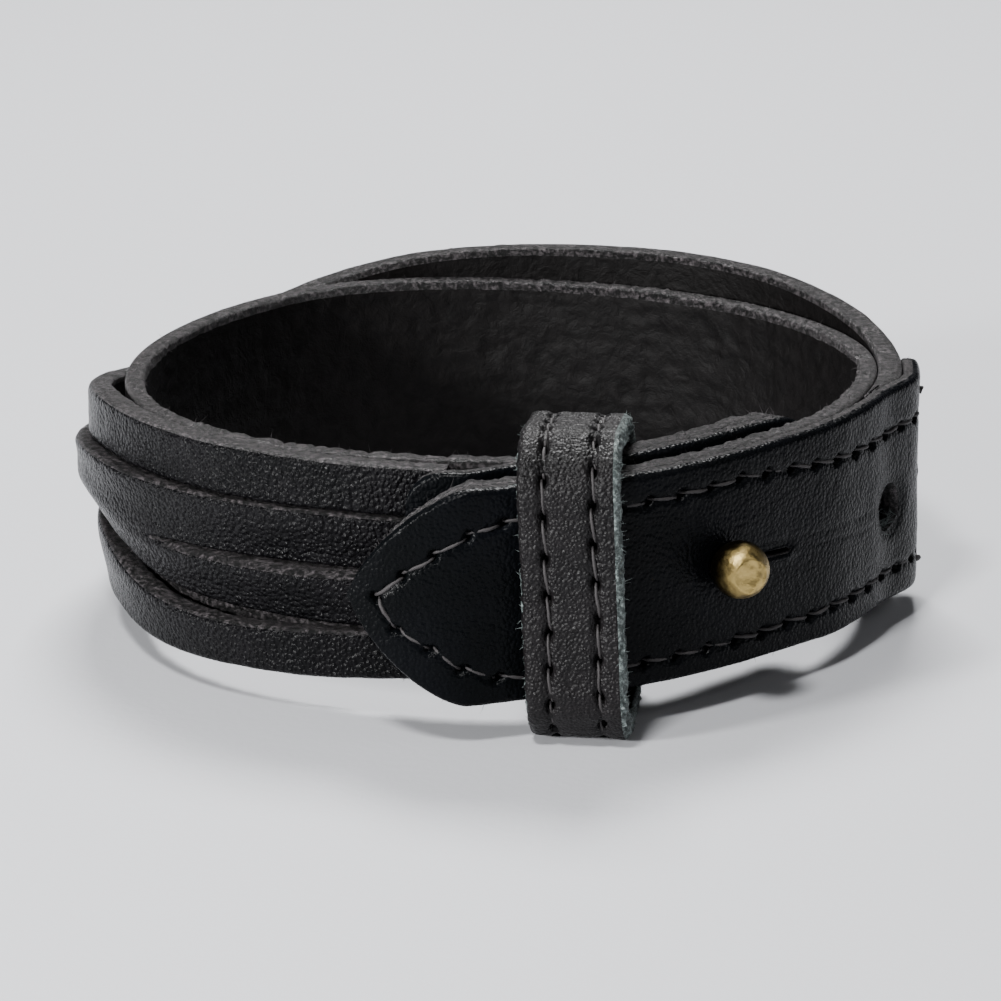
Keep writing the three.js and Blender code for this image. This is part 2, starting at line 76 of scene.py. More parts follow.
class Side(IntEnum):
    """Which side of a leather a face belongs to, and its material slot on the mesh."""

    GRAIN = 0
    CUT_EDGE = 1
    FLESH = 2


# Shapes shared by all pieces


class Column:
    """A smooth curve through one column of a table, by turn."""

    def __init__(self, rows: Sequence[tuple[float, ...]], index: int) -> None:
        """Keeps the column and its slopes.

        Args:
            rows: table rows that start with the turn.
            index: which column to follow.
        """
        self.at = np.array([row[0] for row in rows], float)
        self.value = np.array([row[index] for row in rows], float)
        self.slope = np.gradient(self.value, self.at)
        self.slope[1:-1] = (self.value[2:] - self.value[:-2]) / (self.at[2:] - self.at[:-2])

    def __call__(self, turn: np.ndarray) -> np.ndarray:
        """Reads the curve.

        Args:
            turn: one or many turns.

        Returns:
            The curve's values there.
        """
        turn = np.asarray(turn, float)
        spot = np.clip(np.searchsorted(self.at, turn) - 1, 0, len(self.at) - 2)
        width = self.at[spot + 1] - self.at[spot]
        share = np.clip((turn - self.at[spot]) / width, 0, 1)
        square = share * share
        cube = square * share
        start = (2 * cube - 3 * square + 1) * self.value[spot]
        leave = (cube - 2 * square + share) * width * self.slope[spot]
        end = (3 * square - 2 * cube) * self.value[spot + 1]
        arrive = (cube - square) * width * self.slope[spot + 1]
        return start + leave + end + arrive


class Mottle:
    """Seeded smooth noise over two coordinates, from -1 to 1."""

    SIZE = 256
    OCTAVE_STEP = (17.3, 5.1)  # cells that each finer pattern is moved by, so that none repeats another

    def __init__(self, seed: int) -> None:
        """Draws the grid's values with a seed."""
        self.grid = np.random.default_rng(seed).uniform(-1, 1, (self.SIZE, self.SIZE))

    def at(self, x: np.ndarray, y: np.ndarray) -> np.ndarray:
        """Reads the noise.

        Args:
            x: first coordinate, in cells.
            y: second coordinate, in cells.

        Returns:
            The noise there.
        """
        left = np.floor(x).astype(int)
        below = np.floor(y).astype(int)
        across = x - left
        up = y - below
        across = across * across * (3 - 2 * across)
        up = up * up * (3 - 2 * up)
        grid = self.grid
        size = self.SIZE
        low = grid[left % size, below % size] * (1 - across) + grid[(left + 1) % size, below % size] * across
        above = (below + 1) % size
        high = grid[left % size, above] * (1 - across) + grid[(left + 1) % size, above] * across
        return low * (1 - up) + high * up

    def rough(self, x: np.ndarray, y: np.ndarray, octaves: int) -> np.ndarray:
        """Sums octaves, each twice as fine and half as strong."""
        total = np.zeros(np.broadcast(x, y).shape)
        step_x, step_y = self.OCTAVE_STEP
        for octave in range(octaves):
            scale = 2.0 ** octave
            total += self.at(x * scale + step_x * octave, y * scale + step_y * octave) / scale
        return total


def smooth_step(value: np.ndarray, low: float | np.ndarray, high: float | np.ndarray) -> np.ndarray:
    """Rises from 0 at low to 1 at high with flat ends."""
    share = np.clip((np.asarray(value, float) - low) / (high - low), 0, 1)
    return share * share * (3 - 2 * share)


def bump(value: np.ndarray, middle: float, width: float) -> np.ndarray:
    """A soft bell of height 1 round a value."""
    return np.exp(-(((np.asarray(value, float) - middle) / width) ** 2))


@dataclass(frozen=True)
class Profile:
    """Points round a leather's section. Each place is a share of a size plus millimetres."""

    wall_share: np.ndarray
    wall_mm: np.ndarray
    height_share: np.ndarray
    height_mm: np.ndarray
    out: np.ndarray
    up: np.ndarray
    side: np.ndarray

    @staticmethod
    def rounded(grain_round: float, flesh_round: float, face: int, edge: int, arc: int = 6,
                back: int = 0) -> Profile:
        """A rectangle with rounded corners, from the flesh side's foot outward and up.

        Args:
            grain_round: corner radius at the outer face.
            flesh_round: corner radius at the inner face.
            face: points along each face.
            edge: points along each cut edge.
            arc: points along each corner.
            back: points along the inner face, or 0 for as many as the outer one.

        Returns:
            The profile.
        """
        rows: list[tuple[float, float, float, float, float, float, Side]] = []

        def straight(start: tuple[float, ...], end: tuple[float, ...], count: int, side: Side) -> None:
            for step in range(1, count):
                share = step / count
                mixed = [a + (b - a) * share for a, b in zip(start, end)]
                rows.append((*mixed, side))

        def corner(wall: int, height: int, radius: float, first: float, side: Side) -> None:
            for step in range(arc + 1):
                angle = first + math.pi / 2 * step / arc
                out = math.cos(angle)
                up = math.sin(angle)
                wall_mm = radius * out + (-radius if wall else radius)
                height_mm = radius * up + (-radius if height else radius)
                rows.append((wall, wall_mm, height, height_mm, out, up, side))

        big = grain_round
        small = flesh_round
        straight((0, small, 0, 0, 0, -1), (1, -big, 0, 0, 0, -1), edge, Side.CUT_EDGE)
        corner(1, 0, big, -math.pi / 2, Side.GRAIN)
        straight((1, 0, 0, big, 1, 0), (1, 0, 1, -big, 1, 0), face, Side.GRAIN)
        corner(1, 1, big, 0, Side.GRAIN)
        straight((1, -big, 1, 0, 0, 1), (0, small, 1, 0, 0, 1), edge, Side.CUT_EDGE)
        corner(0, 1, small, math.pi / 2, Side.CUT_EDGE)
        straight((0, 0, 1, -small, -1, 0), (0, 0, 0, small, -1, 0), back or face, Side.FLESH)
        corner(0, 0, small, math.pi, Side.CUT_EDGE)
        columns = list(zip(*rows))
        return Profile(*[np.array(column) for column in columns])


class Hollow:
    """The spiral run that every leather follows, and where its middle stands in the frame."""

    RADIUS = 30.0
    HEIGHT = 18.0
    LINING_WALL = 1.6
    STEP = 0.25  # turns between the places at which the run is measured

    # turn, reach as a share of the radius, foot and top as shares of the height
    RUN = (
        (15, 0.895, 0.178, 1.135), (30, 0.853, 0.178, 1.155), (45, 0.833, 0.178, 1.172),
        (60, 0.860, 0.178, 1.178), (75, 0.907, 0.178, 1.178), (90, 0.928, 0.175, 1.175),
        (105, 0.930, 0.160, 1.170), (120, 0.953, 0.140, 1.167), (135, 0.988, 0.120, 1.165),
        (150, 1.010, 0.100, 1.160), (165, 1.000, 0.080, 1.150), (180, 0.980, 0.060, 1.140),
        (195, 0.967, 0.040, 1.130), (210, 0.968, 0.024, 1.122), (225, 0.985, 0.012, 1.117),
        (240, 1.003, 0.004, 1.113), (255, 0.988, 0.001, 1.111), (270, 0.953, 0.000, 1.111),
        (285, 0.935, 0.003, 1.111), (300, 0.942, 0.012, 1.111), (315, 0.955, 0.030, 1.115),
        (330, 0.970, 0.055, 1.122), (345, 0.985, 0.085, 1.130), (360, 0.983, 0.120, 1.146),
        (375, 0.975, 0.148, 1.156), (390, 0.970, 0.158, 1.156), (405, 0.957, 0.175, 1.156),
        (420, 0.983, 0.188, 1.156), (435, 1.030, 0.190, 1.156), (445, 1.052, 0.188, 1.156),
        (450, 1.080, 0.186, 1.156), (455, 1.114, 0.184, 1.156), (460, 1.127, 0.182, 1.156),
        (466, 1.127, 0.182, 1.156), (473, 1.112, 0.182, 1.156),
    )
    START = 29.2
    END = 469.0

    def __init__(self) -> None:
        """Reads the tables and finds the hollow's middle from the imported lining."""
        self._reach = Column(self.RUN, 1)
        self._foot = Column(self.RUN, 2)
        self._top = Column(self.RUN, 3)
        turns = np.arange(self.START, self.END, self.STEP)
        face = self.outer(turns)
        angle = np.radians(turns)
        low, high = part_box("lining")
        x = face * np.cos(angle)
        y = -face * np.sin(angle)
        self.middle = np.array([
            (low.x + high.x) / 2 / MM - (x.min() + x.max()) / 2,
            (low.y + high.y) / 2 / MM - (y.min() + y.max()) / 2,
        ])
        steps = np.radians(self.STEP) * face
        self._turns = turns
        self._length = np.concatenate([[0], np.cumsum(steps)[:-1]])

    def inner(self, turn: np.ndarray) -> np.ndarray:
        """Radius of the lining's inner face."""
        return self.RADIUS * self._reach(turn)

    def outer(self, turn: np.ndarray) -> np.ndarray:
        """Radius of the lining's outer face."""
        return self.inner(turn) + self.LINING_WALL

    def foot(self, turn: np.ndarray) -> np.ndarray:
        """Height of the strap's lower edge."""
        return np.maximum(0, self.HEIGHT * self._foot(turn))

    def top(self, turn: np.ndarray) -> np.ndarray:
        """Height of the strap's upper edge."""
        return self.HEIGHT * self._top(turn)

    def length(self, turn: np.ndarray) -> np.ndarray:
        """Distance along the strap from its inner end."""
        return np.interp(turn, self._turns, self._length)

    def turn_at(self, length: np.ndarray) -> np.ndarray:
        """The turn at a distance along the strap."""
        return np.interp(length, self._length, self._turns)

    def place(self, turn: np.ndarray, radius: np.ndarray, height: np.ndarray) -> np.ndarray:
        """Points of the frame, in millimetres.

        Args:
            turn: turns.
            radius: distances from the hollow's middle.
            height: heights over the floor.

        Returns:
            An array whose last axis is x, y, z.
        """
        angle = np.radians(turn)
        x = self.middle[0] + radius * np.cos(angle)
        y = self.middle[1] - radius * np.sin(angle)
        return np.stack(np.broadcast_arrays(x, y, height), axis=-1)


# Turning arrays into Blender meshes

SHARP_DEGREES = 55  # edges that bend more than this are shaded sharp


def build_mesh(name: str, points: np.ndarray, faces: list,
               sides: np.ndarray | None = None) -> bpy.types.Object:
    """Makes one mesh object in the scene.

    Args:
        name: the object's name.
        points: vertices in millimetres.
        faces: lists of vertex numbers.
        sides: material index of each face.

    Returns:
        The object.
    """
    mesh = bpy.data.meshes.new(name)
    mesh.from_pydata((points * MM).tolist(), [], faces)
    if sides is not None:
        mesh.polygons.foreach_set("material_index", np.asarray(sides, np.int32))
    work = bmesh.new()
    work.from_mesh(mesh)
    bmesh.ops.recalc_face_normals(work, faces=work.faces)
    work.to_mesh(mesh)
    work.free()
    mesh.polygons.foreach_set("use_smooth", np.ones(len(mesh.polygons), bool))
    mesh.set_sharp_from_angle(angle=math.radians(SHARP_DEGREES))
    piece = bpy.data.objects.new(name, mesh)
    bpy.context.scene.collection.objects.link(piece)
    return piece


def paint_points(piece: bpy.types.Object, name: str, values: np.ndarray) -> None:
    """Stores one number a vertex for a material to read."""
    attribute = piece.data.attributes.new(name, "FLOAT", "POINT")
    attribute.data.foreach_set("value", np.asarray(values, np.float32).ravel())


def grid_faces(rows: int, columns: int, close_rows: bool) -> np.ndarray:
    """Quads of a grid whose columns close on themselves.

    Args:
        rows: number of sections.
        columns: points in each section.
        close_rows: whether the last section joins the first.

    Returns:
        One row of four vertex numbers for each quad.
    """
    row = np.arange(rows if close_rows else rows - 1)[:, None]
    column = np.arange(columns)[None, :]
    following = (row + 1) % rows
    beside = (column + 1) % columns
    corners = [row * columns + column, following * columns + column,
               following * columns + beside, row * columns + beside]
    return np.stack([np.broadcast_to(c, (row.shape[0], columns)) for c in corners], axis=-1).reshape(-1, 4)


@dataclass
class Leather:
    """A leather that follows the strap's run."""

    name: str
    hollow: Hollow
    turns: np.ndarray
    inner: Curve
    wall: Curve
    foot: Curve
    top: Curve
    profile: Profile
    relief: Relief
    shift: Callable[[np.ndarray, np.ndarray], np.ndarray] | None = None
    full_round_height: float = 1.6  # a leather lower or thinner than these has smaller corners
    full_round_wall: float = 1.2

    def build(self) -> bpy.types.Object:
        """Builds the closed mesh.

        Returns:
            The mesh object, with a face's side as its material index.
        """
        profile = self.profile
        turn = self.turns[:, None]
        low = self.foot(self.turns)[:, None]
        high = self.top(self.turns)[:, None]
        near = self.inner(self.turns)[:, None]
        room = np.clip((high - low) / self.full_round_height, 0.05, 1)
        wall = self.wall(self.turns)[:, None]
        thin = np.clip(wall / self.full_round_wall, 0.1, 1)
        out = near + profile.wall_share * wall + profile.wall_mm * thin
        height = low + profile.height_share * (high - low) + profile.height_mm * room
        share = (height - low) / (high - low)
        if self.shift is not None:
            out = out + self.shift(turn + 0 * out, share)
        length = self.hollow.length(turn) + 0 * out
        depth = self.relief(length, height, share, np.broadcast_to(profile.side, out.shape))
        out = out + depth * profile.out
        height = height + depth * profile.up
        points = self.hollow.place(turn + 0 * out, out, height).reshape(-1, 3)
        rows, columns = out.shape
        faces = grid_faces(rows, columns, False)
        sides = np.broadcast_to(profile.side[None, :], (rows - 1, columns)).reshape(-1)
        first = list(range(columns))
        last = list(range((rows - 1) * columns, rows * columns))
        everything = faces.tolist() + [first, last]
        sides = np.concatenate([sides, [Side.CUT_EDGE, Side.CUT_EDGE]])
        return build_mesh(self.name, points, everything, sides)


# Finishes


def linear(colour: str) -> tuple[float, float, float, float]:
    """Turns an sRGB hex colour such as '#1a2b3c' into linear red, green, blue and alpha."""
    parts = [int(colour[i:i + 2], 16) / 255 for i in (1, 3, 5)]
    curve = [p / 12.92 if p <= 0.04045 else ((p + 0.055) / 1.055) ** 2.4 for p in parts]
    return (*curve, 1.0)


class Shader:
    """A material under construction, whose patterns follow the object's own coordinates."""

    def __init__(self, name: str) -> None:
        """Starts an empty node tree with its output."""
        self.material = bpy.data.materials.new(name)
        self.material.use_nodes = True
        self.tree = self.material.node_tree
        self.tree.nodes.clear()
        self.output = self.tree.nodes.new("ShaderNodeOutputMaterial")
        self.where = (self.add("TexCoord"), "Object")

    def add(self, kind: str, links: dict | None = None, **settings: object) -> bpy.types.Node:
        """Adds one node.

        Args:
            kind: the node's type without the ShaderNode prefix.
            links: input name or number to a value, or to a (node, output) pair.
            **settings: the node's own properties.

        Returns:
            The node.
        """
        made = self.tree.nodes.new("ShaderNode" + kind)
        for key, value in settings.items():
            setattr(made, key, value)
        for key, value in (links or {}).items():
            if isinstance(value, tuple) and isinstance(value[0], bpy.types.Node):
                self.tree.links.new(value[0].outputs[value[1]], made.inputs[key])
            else:
                made.inputs[key].default_value = value
        return made

    def noise(self, size_mm: float, detail: float, vector: Link | None = None, **inputs: float) -> Link:
        """Adds a cloudy pattern.

        Args:
            size_mm: how wide its patches are.
            detail: how many finer patterns lie over it.
            vector: where it is read, or None for the object's own coordinates.
            **inputs: the node's other inputs.

        Returns:
            The pattern, from 0 to 1.
        """
        links = {"Vector": vector or self.where, "Scale": per_metre(size_mm), "Detail": detail, **inputs}
        return self.add("TexNoise", links), "Fac"

    def ramp(self, source: Link, dark: str, light: str, low: float = 0.0, high: float = 1.0) -> Link:
        """Colours a pattern from dark at low to light at high."""
        made = self.add("ValToRGB", {"Fac": source})
        for stop, place, colour in zip(made.color_ramp.elements, (low, high), (dark, light)):
            stop.position = place
            stop.color = linear(colour)
        return made, "Color"

    def raised(self, source: Link, depth_mm: float, over: Link | None = None, **settings: object) -> Link:
        """Raises the surface by a pattern, over another relief or the plain surface."""
        links = {"Height": source, "Distance": depth_mm * MM}
        if over is not None:
            links["Normal"] = over
        return self.add("Bump", links, **settings), "Normal"

    def finish(self, inputs: dict) -> bpy.types.Material:
        """Adds the surface with its inputs and returns the finished material."""
        surface = self.add("BsdfPrincipled", inputs)
        self.tree.links.new(surface.outputs[0], self.output.inputs["Surface"])
        return self.material


def per_metre(size_mm: float) -> float:
    """A texture scale whose cells are size_mm across."""
    return 1.0 / (size_mm * MM)


@dataclass(frozen=True)
class DyedLeather:
    """Drum-dyed cow leather, grain side out: round pebbles that sparkle, over soft folds."""

    name: str
    dark: str
    light: str
    roughness: float
    grain_mm: float = 0.36
    grain_depth_mm: float = 0.2
    fold_mm: float = 2.6
    fold_depth_mm: float = 0.03
    shine: float = 0.08
    fine_mm: float = 0.16
    fine_share: float = 0.3  # depth of the fine pores, as a share of the grain's
    patch_mm: float = 6.0
    bend_mm: float = 1.1
    bend_share: float = 0.0002  # how far the pebbles' rows wander

    def material(self) -> bpy.types.Material:
        """Builds the node material."""
        shader = Shader(self.name)
        bend, _ = shader.noise(self.bend_mm, 2.0)
        warped = shader.add("MixRGB", {"Fac": self.bend_share, "Color1": shader.where,
                                       "Color2": (bend, "Color")})
        pebbles = shader.add("TexVoronoi", {"Vector": (warped, 0), "Scale": per_metre(self.grain_mm),
                                            "Smoothness": 0.25}, feature="SMOOTH_F1")
        fine = shader.noise(self.fine_mm, 3.0)
        folds = shader.noise(self.fold_mm, 4.0, Roughness=0.6)
        tone = shader.ramp(shader.noise(self.patch_mm, 3.0), self.dark, self.light, 0.35, 0.7)
        sheen = shader.add("MapRange", {"Value": fine, "From Min": 0.25, "From Max": 0.75,
                                        "To Min": self.roughness - 0.09, "To Max": self.roughness + 0.12})
        low = shader.raised(folds, self.fold_depth_mm)
        middle = shader.raised((pebbles, "Distance"), self.grain_depth_mm, low, invert=True)
        high = shader.raised(fine, self.fine_share * self.grain_depth_mm, middle)
        return shader.finish({"Base Color": tone, "Roughness": (sheen, 0), "Normal": high, "IOR": 1.5,
                              "Specular IOR Level": self.shine})


@dataclass(frozen=True)
class FleshLeather:
    """The napped flesh side of the hide, dyed black: matte and crinkled, so it swallows the light. Its colour
    is painted lighter on the crinkle's crests and darker in its hollows: painted highlight and painted shade.
    """

    name: str = "flesh_side_leather"
    dark: str = "#030202"
    light: str = "#0b0909"
    crinkle_mm: float = 1.5
    crinkle_depth_mm: float = 0.16
    cell_mm: float = 0.9
    cell_depth_mm: float = 0.06
    nap_mm: float = 0.14
    nap_depth_mm: float = 0.03

    def material(self) -> bpy.types.Material:
        """Builds the node material."""
        shader = Shader(self.name)
        crinkle = shader.noise(self.crinkle_mm, 5.0, Roughness=0.62, Distortion=0.8)
        cells = shader.add("TexVoronoi", {"Vector": shader.where, "Scale": per_metre(self.cell_mm)},
                           feature="DISTANCE_TO_EDGE")
        low = shader.raised(crinkle, self.crinkle_depth_mm)
        middle = shader.raised((cells, "Distance"), self.cell_depth_mm, low)
        high = shader.raised(shader.noise(self.nap_mm, 3.0), self.nap_depth_mm, middle)
        # Base colour follows the crinkle that also raises the surface: painted shade in its hollows, painted
        # highlight on its crests.
        return shader.finish({"Base Color": shader.ramp(crinkle, self.dark, self.light, 0.38, 0.68),
                              "Roughness": 0.6, "Normal": high, "IOR": 1.5, "Specular IOR Level": 0.12})


@dataclass(frozen=True)
class CutEdge:
    """A knife-cut edge left raw: torn fibres that speckle it light where the dye hasn't soaked in."""

    name: str
    dark: str
    light: str
    layer_mm: float = 0.24
    layer_depth_mm: float = 0.32
    clump_mm: float = 0.4

    def material(self) -> bpy.types.Material:
        """Builds the node material."""
        shader = Shader(self.name)
        fibres = shader.noise(self.layer_mm, 5.0, Roughness=0.75, Distortion=0.8)
        clumps = shader.noise(self.clump_mm, 3.0)
        mixed = shader.add("Math", {0: fibres, 1: clumps}, operation="MULTIPLY")
        return shader.finish({"Base Color": shader.ramp((mixed, 0), self.dark, self.light, 0.22, 0.40),
                              "Roughness": 0.46, "Normal": shader.raised(fibres, self.layer_depth_mm),
                              "IOR": 1.5, "Specular IOR Level": 0.3})


@dataclass(frozen=True)
class AntiqueBrass:
    """Turned brass, patinated and then rubbed: bright scratched flat, dark olive rim."""

    name: str = "antique_brass"
    bright: str = "#a8925c"
    dull: str = "#3a3220"
    stain_mm: float = 0.9
    dent_depth_mm: float = 0.12
    scratch_mm: float = 0.12
    scratch_depth_mm: float = 0.03
    scratch_stretch: tuple[float, float, float] = (0.12, 1.0, 1.0)
    scratch_turns: tuple[float, float, float] = (0.4, 0.9, 0.2)

    def material(self) -> bpy.types.Material:
        """Builds the node material."""
        shader = Shader(self.name)
        worn = shader.add("Attribute", attribute_name="worn")
        stains = shader.noise(self.stain_mm, 5.0)
        stretch = shader.add("Mapping", {"Vector": shader.where, "Rotation": self.scratch_turns,
                                         "Scale": self.scratch_stretch})
        scratches = shader.noise(self.scratch_mm, 4.0, (stretch, 0), Roughness=0.65)
        mixed = shader.add("Math", {0: (worn, "Fac"), 1: stains}, operation="MULTIPLY")
        amount = shader.add("MapRange", {"Value": (mixed, 0), "From Min": 0.16, "From Max": 0.5})
        lines = shader.raised(scratches, self.scratch_depth_mm, shader.raised(stains, self.dent_depth_mm))
        rough = shader.add("MapRange", {"Value": scratches, "From Min": 0.3, "From Max": 0.7,
                                        "To Min": 0.24, "To Max": 0.46})
        return shader.finish({"Base Color": shader.ramp((amount, 0), self.dull, self.bright), "Metallic": 1.0,
                              "Roughness": (rough, 0), "Normal": lines})


@dataclass(frozen=True)
class WaxedThread:
    """Twisted and waxed sewing thread, fuzzed by wear: grey-brown with a dull shine along its plies."""

    name: str = "waxed_thread"
    dark: str = "#100e0f"
    light: str = "#332f30"
    fibre_mm: float = 0.1
    fibre_depth_mm: float = 0.03

    def material(self) -> bpy.types.Material:
        """Builds the node material."""
        shader = Shader(self.name)
        fibres = shader.noise(self.fibre_mm, 3.0)
        return shader.finish({"Base Color": shader.ramp(fibres, self.dark, self.light), "Roughness": 0.7,
                              "Normal": shader.raised(fibres, self.fibre_depth_mm), "IOR": 1.5})


@dataclass(frozen=True)
class Lint:
    """Loose leather fibres that stand up from a raw edge, matte and a little paler than it."""

    name: str
    colour: str
    shade: str = "#1d1b1c"
    patch_mm: float = 0.8

    def material(self) -> bpy.types.Material:
        """Builds the node material."""
        shader = Shader(self.name)
        tone = shader.add("MixRGB", {"Fac": shader.noise(self.patch_mm, 2.0), "Color1": linear(self.colour),
                                     "Color2": linear(self.shade)})
        return shader.finish({"Base Color": (tone, 0), "Roughness": 0.9, "IOR": 1.5})


@dataclass
class Finishes:
    """Every material of the bracelet, made once."""

    strap: bpy.types.Material = field(init=False)
    tab: bpy.types.Material = field(init=False)
    keeper: bpy.types.Material = field(init=False)
    flesh: bpy.types.Material = field(init=False)
    edge: bpy.types.Material = field(init=False)
    keeper_edge: bpy.types.Material = field(init=False)
    brass: bpy.types.Material = field(init=False)
    thread: bpy.types.Material = field(init=False)
    lint: bpy.types.Material = field(init=False)
    keeper_lint: bpy.types.Material = field(init=False)

    def __post_init__(self) -> None:
        """Builds each finish."""
        self.strap = DyedLeather("strap_leather", "#040405", "#0a090b", 0.27).material()
        self.tab = DyedLeather("tab_leather", "#040506", "#08090c", 0.28, grain_mm=0.34,
                               grain_depth_mm=0.07, shine=0.05).material()
        self.keeper = DyedLeather("keeper_leather", "#0a090a", "#151314", 0.42, grain_mm=0.28,
                                  grain_depth_mm=0.14, fold_mm=0.9, fold_depth_mm=0.10, shine=0.16).material()
        self.flesh = FleshLeather().material()
        self.edge = CutEdge("black_cut_edge", "#030303", "#565153").material()
        self.keeper_edge = CutEdge("grey_cut_edge", "#3a4241", "#97a3a1").material()
        self.brass = AntiqueBrass().material()
        self.thread = WaxedThread().material()
        self.lint = Lint("dark_lint", "#3a3638").material()
        self.keeper_lint = Lint("pale_lint", "#8a9694").material()

    def dress(self, piece: bpy.types.Object, grain: bpy.types.Material,
              edge: bpy.types.Material | None = None) -> None:
        """Gives a leather its three sides' materials in the order of Side."""
        for material in (grain, edge or self.edge, self.flesh):
            piece.data.materials.append(material)


def settle(piece: bpy.types.Object, slot: str, *nodes: str) -> None:
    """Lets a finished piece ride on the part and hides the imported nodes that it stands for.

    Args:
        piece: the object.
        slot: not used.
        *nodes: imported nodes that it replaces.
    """
    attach(piece, BODY)
    if nodes:
        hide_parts(*nodes)
    LOG.info("%s: %d faces", piece.name, len(piece.data.polygons))


# Thread and fibres


@dataclass
class Tubes:
    """Many short tubes gathered into one mesh."""

    GUIDE = np.array([0.3, 0.5, 0.81])  # a direction that no tube follows exactly

    sides: int
    ply_floor: float = 0.82  # a twisted thread's radius between its plies, as a share
    ply_swell: float = 0.25
    points: list = field(default_factory=list)
    faces: list = field(default_factory=list)
    count: int = 0

    def add(self, path: np.ndarray, radius: np.ndarray, twist: float = 0.0, plies: int = 0) -> None:
        """Adds one closed tube.

        Args:
            path: points along its middle, in millimetres.
            radius: radius at each point.
            twist: turns of the plies along the tube.
            plies: how many plies swell its section, or 0 for a plain one.
        """
        steps = len(path)
        heading = np.gradient(path, axis=0)
        heading /= np.linalg.norm(heading, axis=1, keepdims=True)
        first = np.cross(heading, self.GUIDE)
        first /= np.linalg.norm(first, axis=1, keepdims=True)
        second = np.cross(heading, first)
        angle = np.linspace(0, 2 * np.pi, self.sides, endpoint=False)
        along = np.linspace(0, 1, steps)[:, None]
        swell = 1.0
        if plies:
            spiral = plies / 2 * (angle[None, :] + 2 * np.pi * twist * along)
            swell = self.ply_floor + self.ply_swell * np.abs(np.cos(spiral))
        reach = np.asarray(radius)[:, None] * swell * np.ones((steps, self.sides))
        spoke = np.cos(angle)[None, :, None] * first[:, None, :]
        spoke = spoke + np.sin(angle)[None, :, None] * second[:, None, :]
        ring = path[:, None, :] + reach[..., None] * spoke
        self.points.append(ring.reshape(-1, 3))
        self.faces.extend((grid_faces(steps, self.sides, False) + self.count).tolist())
        last = self.count + (steps - 1) * self.sides
        for cap in (self.count, last):
            self.faces.append([cap + i for i in range(self.sides)])
        self.count += steps * self.sides

    def build(self, name: str) -> bpy.types.Object:
        """Makes the mesh object."""
        return build_mesh(name, np.concatenate(self.points), self.faces)


@dataclass(frozen=True)
class Stitch:
    """The sizes of the hand stitching."""

    radius: float = 0.17
    bed: float = 0.19
    sink: float = 0.50
    rise: float = 0.05
    steps: int = 15
    sides: int = 8

    def lay(self, tubes: Tubes, start: np.ndarray, end: np.ndarray, outward: np.ndarray,
            draw: np.random.Generator) -> None:
        """Lays one stitch between two holes.

        Args:
            tubes: where it is gathered.
            start: surface point of the first hole.
            end: surface point of the second.
            outward: the leather's outward direction there.
            draw: seeded random numbers.
        """
        share = np.linspace(0, 1, self.steps)[:, None]
        arch = -self.sink + (self.sink + self.rise * draw.uniform(0, 2)) * np.sin(np.pi * share) ** 0.45
        wander = draw.normal(0, 0.03, 3) * np.sin(2 * np.pi * share)
        path = start + (end - start) * share + outward * arch + wander
        size = self.radius * draw.uniform(0.85, 1.1) * (0.75 + 0.25 * np.sin(np.pi * share[:, 0]))
        tubes.add(path, size, twist=1.8, plies=2)


class Fringe:
    """Loose fibres along a raw edge."""

    LARGEST = 1.5  # square millimetres of the largest face that fibres grow from
    LEAN = 0.5  # how much a fibre keeps to its face's direction
    SPREAD = 0.6
    CURL = 0.9

    def __init__(self, seed: int, thickness: float, longest: float, lint: bpy.types.Material) -> None:
        """Keeps what the fibres are like.

        Args:
            seed: picks the fibres.
            thickness: fibre radius in millimetres.
            longest: longest fibre in millimetres.
            lint: their finish.
        """
        self.draw = np.random.default_rng(seed)
        self.thickness = thickness
        self.longest = longest
        self.lint = lint

    def roots(self, leather: bpy.types.Object, side: Side) -> tuple[np.ndarray, np.ndarray, np.ndarray]:
        """Middles, directions and areas of a leather's faces on one side, in millimetres."""
        faces = leather.data.polygons
        count = len(faces)
        middle = np.zeros(count * 3)
        facing = np.zeros(count * 3)
        area = np.zeros(count)
        kind = np.zeros(count, np.int32)
        faces.foreach_get("center", middle)
        faces.foreach_get("normal", facing)
        faces.foreach_get("area", area)
        faces.foreach_get("material_index", kind)
        keep = (kind == side) & (area < self.LARGEST * MM * MM)
        return middle.reshape(-1, 3)[keep] / MM, facing.reshape(-1, 3)[keep], area[keep]

    def grow(self, leather: bpy.types.Object, name: str, count: int, slot: str,
             near: tuple[np.ndarray, float] | None = None) -> None:
        """Plants fibres on a leather's cut edges as a piece of their own.

        Args:
            leather: the finished leather.
            name: the new piece's name.
            count: how many fibres.
            slot: not used; it is only handed on to settle.
            near: a point and a reach, in millimetres, that keep the fibres in one place.
        """
        roots, outward, area = self.roots(leather, Side.CUT_EDGE)
        if near is not None:
            inside = np.linalg.norm(roots - near[0], axis=1) < near[1]
            roots, outward, area = roots[inside], outward[inside], area[inside]
        tubes = Tubes(3)
        share = np.linspace(0, 1, 5)[:, None]
        for pick in self.draw.choice(len(roots), count, p=area / area.sum()):
            direction = self.LEAN * outward[pick] + self.draw.normal(0, self.SPREAD, 3)
            direction /= np.linalg.norm(direction)
            curl = self.draw.normal(0, self.CURL, 3)
            length = self.longest * self.draw.uniform(0.15, 1.0) ** 1.6
            path = roots[pick] - 0.05 * outward[pick] + length * (direction * share + curl * share ** 2 * 0.5)
            path[:, 2] = np.maximum(path[:, 2], 2 * self.thickness)
            tubes.add(path, self.thickness * (1.1 - share[:, 0]))
        piece = tubes.build(name)
        piece.data.materials.append(self.lint)
        settle(piece, slot)


# The bracelet's pieces


def even_turns(start: float, end: float, step: float) -> np.ndarray:
    """Even stations along the run."""
    return np.linspace(start, end, max(2, int(round((end - start) / step)) + 1))


def steady(value: float) -> Curve:
    """A curve that has one value at every turn."""
    return lambda turn: np.full(np.shape(turn), float(value))


